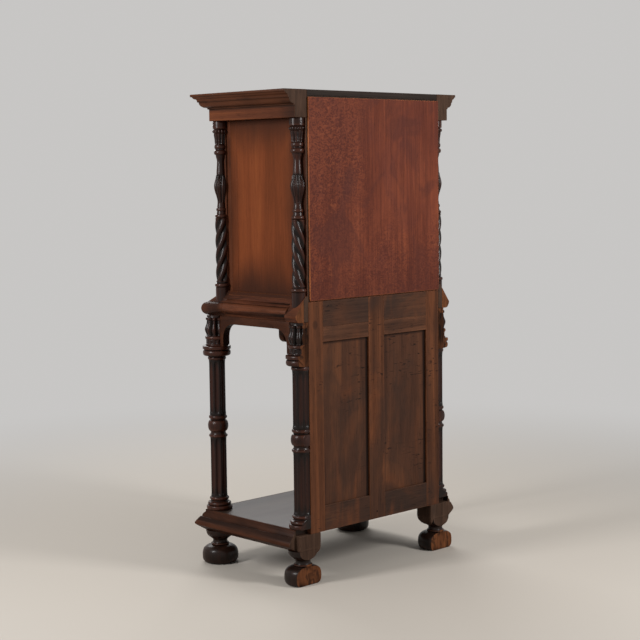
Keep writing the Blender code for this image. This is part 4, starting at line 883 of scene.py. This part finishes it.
def spin(name, profile, axis, carving=None):
    """A closed lathe mesh; carving(z, angle) gives the depth cut below the profile."""
    line = [profile[0]]
    for point in profile[1:]:
        if abs(point[0] - line[-1][0]) + abs(point[1] - line[-1][1]) > 1e-5:
            line.append(point)
    line = np.array(line)
    angle = np.arange(AROUND) * 2 * math.pi / AROUND
    radius = np.repeat(line[:, :1], AROUND, axis=1)
    if carving is not None:
        radius = radius - carving(line[:, 1:2], angle[None, :])
    x = axis[0] + radius * np.cos(angle)[None, :]
    y = axis[1] + radius * np.sin(angle)[None, :]
    z = np.repeat(line[:, 1:2], AROUND, axis=1)
    points = np.stack([x, y, z], axis=2).reshape(-1, 3)
    faces = []
    for row in range(len(line) - 1):
        for column in range(AROUND):
            after = (column + 1) % AROUND
            faces.append((row * AROUND + column, row * AROUND + after,
                          (row + 1) * AROUND + after, (row + 1) * AROUND + column))
    faces.append(tuple(range(AROUND - 1, -1, -1)))
    top = (len(line) - 1) * AROUND
    faces.append(tuple(range(top, top + AROUND)))
    mesh = bpy.data.meshes.new(name)
    mesh.from_pydata(points.tolist(), [], faces)
    obj = bpy.data.objects.new(name, mesh)
    bpy.context.scene.collection.objects.link(obj)
    return obj, line


print("turning helpers ready,", AROUND, "points around")

# %% [markdown]
# ## Carving that follows a rule
#
# Flutes, reeds and the rope twist are one rule: a wave round the axis that may turn as it climbs,
# and fades out at both ends. That suits Geometry Nodes. The tree reads each point's angle and
# height, works out how deep the gouge goes there, and moves the point towards the axis. Its
# inputs are the sizes that a carver would set out: how many, how deep, from where to
# where, and how many turns.

# %% Carving tree
carve = bpy.data.node_groups.new("carved_wave", "GeometryNodeTree")
carve.interface.new_socket("Geometry", in_out="INPUT", socket_type="NodeSocketGeometry")
CARVE_INPUTS = {}
for title, kind in (("Axis X", "Float"), ("Axis Y", "Float"), ("Start", "Float"), ("End", "Float"),
                    ("Lobes", "Float"), ("Depth", "Float"), ("Turns", "Float"), ("Fade", "Float"),
                    ("Hollow", "Float"), ("Fillet", "Float"), ("Finish", "Material")):
    socket = carve.interface.new_socket(title, in_out="INPUT", socket_type=f"NodeSocket{kind}")
    CARVE_INPUTS[title] = socket.identifier
carve.interface.new_socket("Geometry", in_out="OUTPUT", socket_type="NodeSocketGeometry")
given = carve.nodes.new("NodeGroupInput")
here = carve.nodes.new("GeometryNodeInputPosition")
parts = put(carve, "ShaderNodeSeparateXYZ", Vector=here.outputs[0])
off_x = sums(carve, "SUBTRACT", parts.outputs["X"], given.outputs["Axis X"])
off_y = sums(carve, "SUBTRACT", parts.outputs["Y"], given.outputs["Axis Y"])
reach = sums(carve, "SQRT", sums(carve, "ADD", sums(carve, "MULTIPLY", off_x, off_x), sums(carve, "MULTIPLY", off_y, off_y)))
bearing = sums(carve, "ARCTAN2", off_y, off_x)
length = sums(carve, "SUBTRACT", given.outputs["End"], given.outputs["Start"])
climb = sums(carve, "SUBTRACT", parts.outputs["Z"], given.outputs["Start"])
share = sums(carve, "DIVIDE", climb, length)
turned = sums(carve, "MULTIPLY", sums(carve, "MULTIPLY", share, given.outputs["Turns"]), 2 * math.pi)
phase = sums(carve, "MULTIPLY", sums(carve, "SUBTRACT", bearing, turned), sums(carve, "MULTIPLY", given.outputs["Lobes"], 0.5))
wave = sums(carve, "ABSOLUTE", sums(carve, "COSINE", phase))
valley = sums(carve, "SUBTRACT", 1.0, wave)
chosen = sums(carve, "ADD", sums(carve, "MULTIPLY", wave, given.outputs["Hollow"]),
              sums(carve, "MULTIPLY", valley, sums(carve, "SUBTRACT", 1.0, given.outputs["Hollow"])))
rounding = None
for run in (climb, sums(carve, "SUBTRACT", length, climb)):
    near = put(carve, "ShaderNodeMapRange", Value=run, From_Max=given.outputs["Fade"]).outputs["Result"]
    arch = sums(carve, "SQRT", sums(carve, "MULTIPLY", near, sums(carve, "SUBTRACT", 2.0, near)))
    rounding = arch if rounding is None else sums(carve, "MULTIPLY", rounding, arch)
clear = sums(carve, "SUBTRACT", 1.0, given.outputs["Fillet"])
floor_level = sums(carve, "SUBTRACT", 1.0, sums(carve, "MULTIPLY", clear, sums(carve, "MAXIMUM", rounding, 0.001)))
gouge = put(carve, "ShaderNodeMapRange", Value=chosen, From_Min=floor_level)
depth = sums(carve, "MULTIPLY", gouge.outputs["Result"], given.outputs["Depth"])
depth = sums(carve, "MULTIPLY", depth, rounding)
stay = sums(carve, "SUBTRACT", 1.0, sums(carve, "DIVIDE", depth, sums(carve, "MAXIMUM", reach, 0.0001)))
moved = put(carve, "ShaderNodeCombineXYZ",
            X=sums(carve, "ADD", given.outputs["Axis X"], sums(carve, "MULTIPLY", off_x, stay)),
            Y=sums(carve, "ADD", given.outputs["Axis Y"], sums(carve, "MULTIPLY", off_y, stay)),
            Z=parts.outputs["Z"])
push = put(carve, "GeometryNodeSetPosition", Geometry=given.outputs["Geometry"], Position=moved.outputs[0])
real = put(carve, "GeometryNodeRealizeInstances", Geometry=push.outputs[0])
painted = put(carve, "GeometryNodeSetMaterial", Geometry=real.outputs[0], Material=given.outputs["Finish"])
carve_out = carve.nodes.new("NodeGroupOutput")
carve.links.new(painted.outputs[0], carve_out.inputs[0])


def gouge_out(obj, axis, start, end, lobes, depth, turns=0.0, fade=0.008, hollow=0.0, fillet=0.0):
    modifier = obj.modifiers.new("carving", "NODES")
    modifier.node_group = carve
    values = {"Axis X": axis[0], "Axis Y": axis[1], "Start": start, "End": end, "Lobes": lobes, "Depth": depth,
              "Turns": turns, "Fade": fade, "Hollow": hollow, "Fillet": fillet}
    for title, value in values.items():
        modifier[CARVE_INPUTS[title]] = float(value)
    modifier[CARVE_INPUTS["Finish"]] = turned_walnut


print("carving tree with", len(carve.nodes), "nodes")

# %% [markdown]
# ## Cutting and relief of turned pieces
#
# The rear columns and feet were turned whole and then sawn flat, so that the cabinet could stand
# against a wall. A Boolean does the same. Afterwards the relief is measured: how far a point
# lies inside or outside the smoothed profile, less the depth of its gouge.

# %% Finish a turned piece


def saw_block(low, high):
    shape = bmesh.new()
    bmesh.ops.create_cube(shape, size=1.0)
    size = Vector(high) - Vector(low)
    bmesh.ops.scale(shape, vec=size, verts=shape.verts)
    bmesh.ops.translate(shape, vec=(Vector(high) + Vector(low)) / 2, verts=shape.verts)
    mesh = bpy.data.meshes.new("saw")
    shape.to_mesh(mesh)
    shape.free()
    obj = bpy.data.objects.new("saw", mesh)
    bpy.context.scene.collection.objects.link(obj)
    return obj


def saw_off(obj, *saws):
    for saw in saws:
        cut = obj.modifiers.new("saw_cut", "BOOLEAN")
        cut.operation = "DIFFERENCE"
        cut.solver = "EXACT"
        cut.object = saw


def profile_relief(line):
    path = np.concatenate([[0], np.cumsum(np.hypot(np.diff(line[:, 0]), np.diff(line[:, 1])))])
    weight = np.exp(-((path[:, None] - path[None, :]) ** 2) / (2 * 0.005 ** 2))
    smooth = (weight @ line[:, 0]) / weight.sum(1)
    return np.clip((line[:, 0] - smooth) / 0.0022, -1, 1)


SHAFTS = ((0.2160, 0.4100), (0.4820, 0.6600))


def finish_turned(obj, name, line, axis, node, saws=(), finish=turned_walnut):
    saw_off(obj, *saws)
    obj = plain_mesh(obj, name)
    for saw in saws:
        bpy.data.objects.remove(saw)
    mesh = obj.data
    mesh.materials.clear()
    mesh.materials.append(finish)
    mesh.materials.append(sawn_walnut)
    points = np.zeros(len(mesh.vertices) * 3)
    mesh.vertices.foreach_get("co", points)
    points = points.reshape(-1, 3)
    order = np.argsort(line[:, 1], kind="stable")
    whole = np.interp(points[:, 2], line[order, 1], line[order, 0])
    ring = np.interp(points[:, 2], line[order, 1], profile_relief(line)[order])
    reach = np.hypot(points[:, 0] - axis[0], points[:, 1] - axis[1])
    gouged = np.clip((whole - reach) / 0.003, 0, 1)
    relief = ring + 0.15 - 1.0 * gouged
    # On the fluted shafts the relief is low, and lowest next to the rings, so the finish's dirt and painted shade lie
    # darker there.
    for low, high in SHAFTS if node.startswith("lower") else ():
        off = np.minimum(points[:, 2] - low, high - points[:, 2])
        fluted = 0.5 * gouged - 0.45 - 0.7 * np.exp(-(np.maximum(off, 0) / 0.026) ** 2)
        relief = np.where(off > 0, fluted, relief)
    relief = np.clip(relief, -1, 1)
    layer = mesh.attributes.new("relief", "FLOAT", "POINT")
    layer.data.foreach_set("value", relief.astype(np.float32))
    for face in mesh.polygons:
        flat = face.normal.y > 0.99 and abs(face.center.y - BACK_Y) < 1e-4
        bare = face.center.z > 0.67 or face.center.z < 0.12
        face.material_index = 1 if flat and bare else 0
    mesh.shade_smooth()
    mesh.set_sharp_from_angle(angle=math.radians(50))
    return keep(obj, "cabinet", node)


print("saws ready")

# %% [markdown]
# ## Upper columns
#
# From below: a plain plinth, a thin ring, a four-strand rope, two small rings, a bulb wrapped in
# acanthus leaves, a slim neck, two rings, a reeded capital, a ring of beads and a plain cap. The leaves
# are written as a depth below the bulb: full height inside a pointed leaf outline, lower
# outside it, with a groove for the midrib.

# %% Leaf and bead carving
BULB_LOW = 1.163
BULB_HIGH = 1.249
BEADS = 13


def leaves(z, angle, low, high, count, shift, cut):
    """Depth cut below the bulb and where a leaf lies: broad below, pointed at the top, hollow midrib."""
    t = np.clip((z - low) / (high - low), 0, 1)
    a = ((angle * count / (2 * math.pi) + shift) % 1.0) - 0.5
    half = 0.48 * np.sqrt(np.clip(1 - t ** 3.2, 0.0004, 1))
    across = np.abs(a) / half
    inside = 1 / (1 + np.exp(-(1 - across) / 0.06))
    swell = 0.75 * np.clip(across, 0, 1) ** 2.2
    rib = 0.45 * np.exp(-(a / 0.07) ** 2) * np.clip(t * 3, 0, 1)
    return cut * (1 - inside + inside * np.maximum(swell, rib)), inside


def upper_carving(z, angle):
    z, angle = np.broadcast_arrays(z, angle)
    front, cover = leaves(z, angle, BULB_LOW, BULB_HIGH, 7, 0.0, 0.0036)
    behind, _ = leaves(z, angle, BULB_LOW, BULB_HIGH - 0.004, 7, 0.5, 0.0016)
    leafed = np.where(cover > 0.5, front, 0.0018 + behind)
    on_bulb = ((z > BULB_LOW) & (z < BULB_HIGH)).astype(float)
    pitch = 2 * math.pi * 0.0222 / BEADS
    along = (((angle * BEADS / (2 * math.pi)) % 1.0) - 0.5) * pitch
    ball = np.sqrt(np.clip(1 - (along / (pitch * 0.52)) ** 2 - ((z - 1.3854) / 0.0060) ** 2, 0, 1))
    return leafed * on_bulb - 0.0040 * ball


def upper_profile():
    line = straight(0.0225, 0.846, 0.8950, 0.008)
    line += bead(0.8962, 0.9078, 0.0208, 0.0250)
    line += [(0.0190, 0.9084), (0.0190, 0.9116)]
    line += straight(0.0210, 0.9122, 1.1136, 0.0020)
    line += [(0.0180, 1.1142)]
    line += bead(1.1146, 1.1254, 0.0176, 0.0204)
    line += flow([(0.0160, 1.1262), (0.0148, 1.1310), (0.0142, 1.1350)])
    line += bead(1.1356, 1.1464, 0.0140, 0.0167)
    line += flow([(0.0136, 1.1475), (0.0122, 1.1630)])
    line += flow([(0.0124, 1.1634), (0.0226, 1.2137), (0.0166, 1.2485)], 0.0012)
    line += flow([(0.0140, 1.2492), (0.0118, 1.2925), (0.0152, 1.3100)], 0.004)
    line += bead(1.3118, 1.3270, 0.0158, 0.0208)
    line += [(0.0163, 1.3284)]
    line += bead(1.3304, 1.3438, 0.0162, 0.0192)
    line += flow([(0.0170, 1.3444), (0.0180, 1.3560), (0.0205, 1.3782)])
    line += bead(1.3792, 1.3916, 0.0188, 0.0206, 11)
    line += [(0.0190, 1.3926), (0.0226, 1.3936), (0.0233, 1.3944)]
    line += straight(0.0233, 1.3950, 1.4155, 0.007)
    line += [(0.0229, 1.4164)]
    return line


print("bulb from", BULB_LOW, "to", BULB_HIGH)

# %% Make the upper columns
UPPER_X = 0.3076
UPPER_DEPTH = {"front": 0.3777, "rear": 0.0257}
SEAT_TOP = 0.8843
SEAT_APEX = 0.3050
SEAT_SLOPE = 1.365


def seat_saw(side, depth):
    """The waist's top under a column: flat inside, sloped outwards."""
    inside, outside, under = UPPER_X - 0.06, UPPER_X + 0.06, 0.78
    outline = [(inside, under), (inside, SEAT_TOP), (SEAT_APEX, SEAT_TOP),
               (outside, SEAT_TOP - (outside - SEAT_APEX) * SEAT_SLOPE), (outside, under)]
    shape = bmesh.new()
    ends = [[shape.verts.new((side * x, BACK_Y - depth + step, z)) for x, z in outline] for step in (-0.05, 0.05)]
    shape.faces.new(ends[0])
    shape.faces.new(ends[1])
    for k in range(len(outline)):
        n = (k + 1) % len(outline)
        shape.faces.new((ends[0][k], ends[0][n], ends[1][n], ends[1][k]))
    bmesh.ops.recalc_face_normals(shape, faces=shape.faces)
    mesh = bpy.data.meshes.new("saw")
    shape.to_mesh(mesh)
    shape.free()
    obj = bpy.data.objects.new("saw", mesh)
    bpy.context.scene.collection.objects.link(obj)
    return obj


for hand, side in (("left", -1), ("right", 1)):
    for end in ("front", "rear"):
        axis = (side * UPPER_X, BACK_Y - UPPER_DEPTH[end])
        name = f"upper_column_{end}_{hand}"
        obj, line = spin(name, upper_profile(), axis, upper_carving)
        twist = side if end == "front" else -side
        gouge_out(obj, axis, 0.9128, 1.1132, 4, 0.0062, turns=twist, fade=0.006)
        gouge_out(obj, axis, 1.3446, 1.3786, 10, 0.0030, fade=0.005)
        saws = []
        if end == "rear":
            saws.append(seat_saw(side, UPPER_DEPTH[end]))
            near, far = sorted((side * 0.2, side * 0.2973))
            saws.append(saw_block((near, BACK_Y - 0.3, 0), (far, BACK_Y + 0.3, 2)))
        made = finish_turned(obj, name + "_carved", line, axis, name, saws)
        print(made.name, len(made.data.polygons), "faces")

# %% [markdown]
# ## Lower columns
#
# Two tori and a cove make the base, then two fluted shafts with a knop between them, a broad
# two-step ring, a short fluted neck, and a capital of ten tall petals under the waist.

# %% Make the lower columns


def lower_profile():
    line = [(0.0385, 0.1741)]
    line += bead(0.1743, 0.1879, 0.0385, 0.0417)
    line += [(0.0345, 0.1884)]
    line += bead(0.1888, 0.1990, 0.0340, 0.0375)
    line += flow([(0.0300, 0.1996), (0.0269, 0.2030), (0.0279, 0.2056)])
    line += bead(0.2062, 0.2150, 0.0280, 0.0312)
    line += [(0.0268, 0.2156)]
    line += straight(0.0263, 0.2166, 0.4095, 0.0030)
    line += bead(0.4103, 0.4190, 0.0266, 0.0300)
    line += flow([(0.0262, 0.4198), (0.0240, 0.4245), (0.0250, 0.4290)])
    line += bead(0.4296, 0.4650, 0.0252, 0.0328, 15)
    line += flow([(0.0242, 0.4656), (0.0256, 0.4696)])
    line += bead(0.4702, 0.4802, 0.0262, 0.0293)
    line += [(0.0256, 0.4810)]
    line += straight(0.0263, 0.4830, 0.6590, 0.0030)
    line += bead(0.6605, 0.6712, 0.0262, 0.0292)
    line += [(0.0262, 0.6720), (0.0400, 0.6746)]
    line += bead(0.6750, 0.6924, 0.0402, 0.0446)
    line += [(0.0402, 0.6930), (0.0412, 0.6948), (0.0446, 0.6956)]
    line += straight(0.0452, 0.6962, 0.7046, 0.004)
    line += [(0.0442, 0.7058), (0.0360, 0.7064)]
    line += bead(0.7068, 0.7118, 0.0344, 0.0356, 5)
    line += straight(0.0334, 0.7122, 0.7256, 0.0016)
    line += bead(0.7266, 0.7376, 0.0330, 0.0366)
    line += flow([(0.0318, 0.7384), (0.0372, 0.7580), (0.0310, 0.7810), (0.0304, 0.7866)], 0.0014)
    line += bead(0.7874, 0.7972, 0.0302, 0.0338)
    line += [(0.0296, 0.7982), (0.0296, 0.8054)]
    return line


LOWER_X = 0.3045
LOWER_DEPTH = {"front": 0.417, "rear": 0.0265}
for hand, side in (("left", -1), ("right", 1)):
    for end in ("front", "rear"):
        axis = (side * LOWER_X, BACK_Y - LOWER_DEPTH[end])
        name = f"lower_column_{end}_{hand}"
        obj, line = spin(name, lower_profile(), axis)
        gouge_out(obj, axis, 0.2195, 0.4070, 8, 0.0044, fade=0.011, hollow=1.0, fillet=0.30)
        gouge_out(obj, axis, 0.4860, 0.6565, 8, 0.0044, fade=0.011, hollow=1.0, fillet=0.30)
        gouge_out(obj, axis, 0.7124, 0.7254, 16, 0.0020, fade=0.003, hollow=1.0, fillet=0.35)
        gouge_out(obj, axis, 0.7386, 0.7968, 10, 0.0080, fade=0.004)
        saws = []
        if end == "rear":
            saws.append(saw_block((-1, BACK_Y, 0), (1, BACK_Y + 0.2, 2)))
            near, far = sorted((side * 0.1, side * 0.2939))
            saws.append(saw_block((near, BACK_Y - 0.0203, 0), (far, BACK_Y + 0.3, 2)))
        made = finish_turned(obj, name + "_carved", line, axis, name, saws)
        print(made.name, len(made.data.polygons), "faces")

# %% [markdown]
# ## Feet
#
# Each foot is a flattened bun, a thin ring, a neck and a flared cup under a square block. The two
# parts are made apart, the rear ones are sawn flat, and then they are joined into one object.

# %% Make the feet


def foot_profile():
    line = curve([(0.0450, 0.0003), (0.0528, 0.0042), (0.0570, 0.0120), (0.0580, 0.0235), (0.0572, 0.0350),
                  (0.0534, 0.0455), (0.0447, 0.0530), (0.0356, 0.0565)])
    line += [(0.0300, 0.0572), (0.0262, 0.0578)]
    line += bead(0.0582, 0.0642, 0.0256, 0.0290)
    line += curve([(0.0248, 0.0650), (0.0232, 0.0705), (0.0246, 0.0765), (0.0325, 0.0825), (0.0394, 0.0885),
                   (0.0437, 0.0960), (0.0453, 0.1030), (0.0455, 0.1075)])
    return line


LEG_X = LOWER_X
BLOCK_OUTER = 0.3387
BLOCK_WIDE = 0.086
BLOCK_DEPTH = {"front": (0.3557, 0.4417), "rear": (0.0, 0.0620)}
BLOCK_LOW = {"front": 0.1040, "rear": 0.0800}
BLOCK_HIGH = 0.1556
BLOCK_ROUND = {"front": 0.020, "rear": 0.033}


def foot_block(name, side, end):
    shape = bmesh.new()
    bmesh.ops.create_cube(shape, size=1.0)
    near, far = sorted((side * BLOCK_OUTER, side * (BLOCK_OUTER - BLOCK_WIDE)))
    low = Vector((near, BACK_Y - BLOCK_DEPTH[end][1], BLOCK_LOW[end]))
    high = Vector((far, BACK_Y - BLOCK_DEPTH[end][0], BLOCK_HIGH))
    bmesh.ops.scale(shape, vec=high - low, verts=shape.verts)
    bmesh.ops.translate(shape, vec=(high + low) / 2, verts=shape.verts)
    lower = [edge for edge in shape.edges if all(vert.co.z < low.z + 0.001 for vert in edge.verts)]
    bmesh.ops.bevel(shape, geom=lower, offset=BLOCK_ROUND[end], segments=6, profile=0.5, affect="EDGES")
    inset_flats(shape)
    mark_relief(shape)
    mesh = bpy.data.meshes.new(name)
    shape.to_mesh(mesh)
    shape.free()
    block = bpy.data.objects.new(name, mesh)
    bpy.context.scene.collection.objects.link(block)
    round_off = block.modifiers.new("worn_edge", "BEVEL")
    round_off.limit_method = "WEIGHT"
    round_off.width = 0.0016
    round_off.segments = 2
    return plain_mesh(block, name)


for hand, side in (("left", -1), ("right", 1)):
    for end in ("front", "rear"):
        axis = (side * LEG_X, BACK_Y - LOWER_DEPTH[end])
        name = f"foot_{end}_{hand}"
        obj, line = spin(name, foot_profile(), axis)
        saws = [saw_block((-1, BACK_Y, -0.1), (1, BACK_Y + 0.2, 2))] if end == "rear" else []
        made = finish_turned(obj, name + "_turned", line, axis, name, saws, foot_walnut)
        block = foot_block(name + "_block", side, end)
        for finish in (foot_walnut, sawn_walnut, sawn_dark):
            block.data.materials.append(finish)
        for face in block.data.polygons:
            face.material_index = 2 if end == "rear" else 0
        made.data.materials.append(sawn_dark)
        for face in made.data.polygons:
            if face.material_index == 1 and face.center.z > 0.066:
                face.material_index = 2
        made = joined(made, block)
        print(made.name, len(made.data.polygons), "faces")
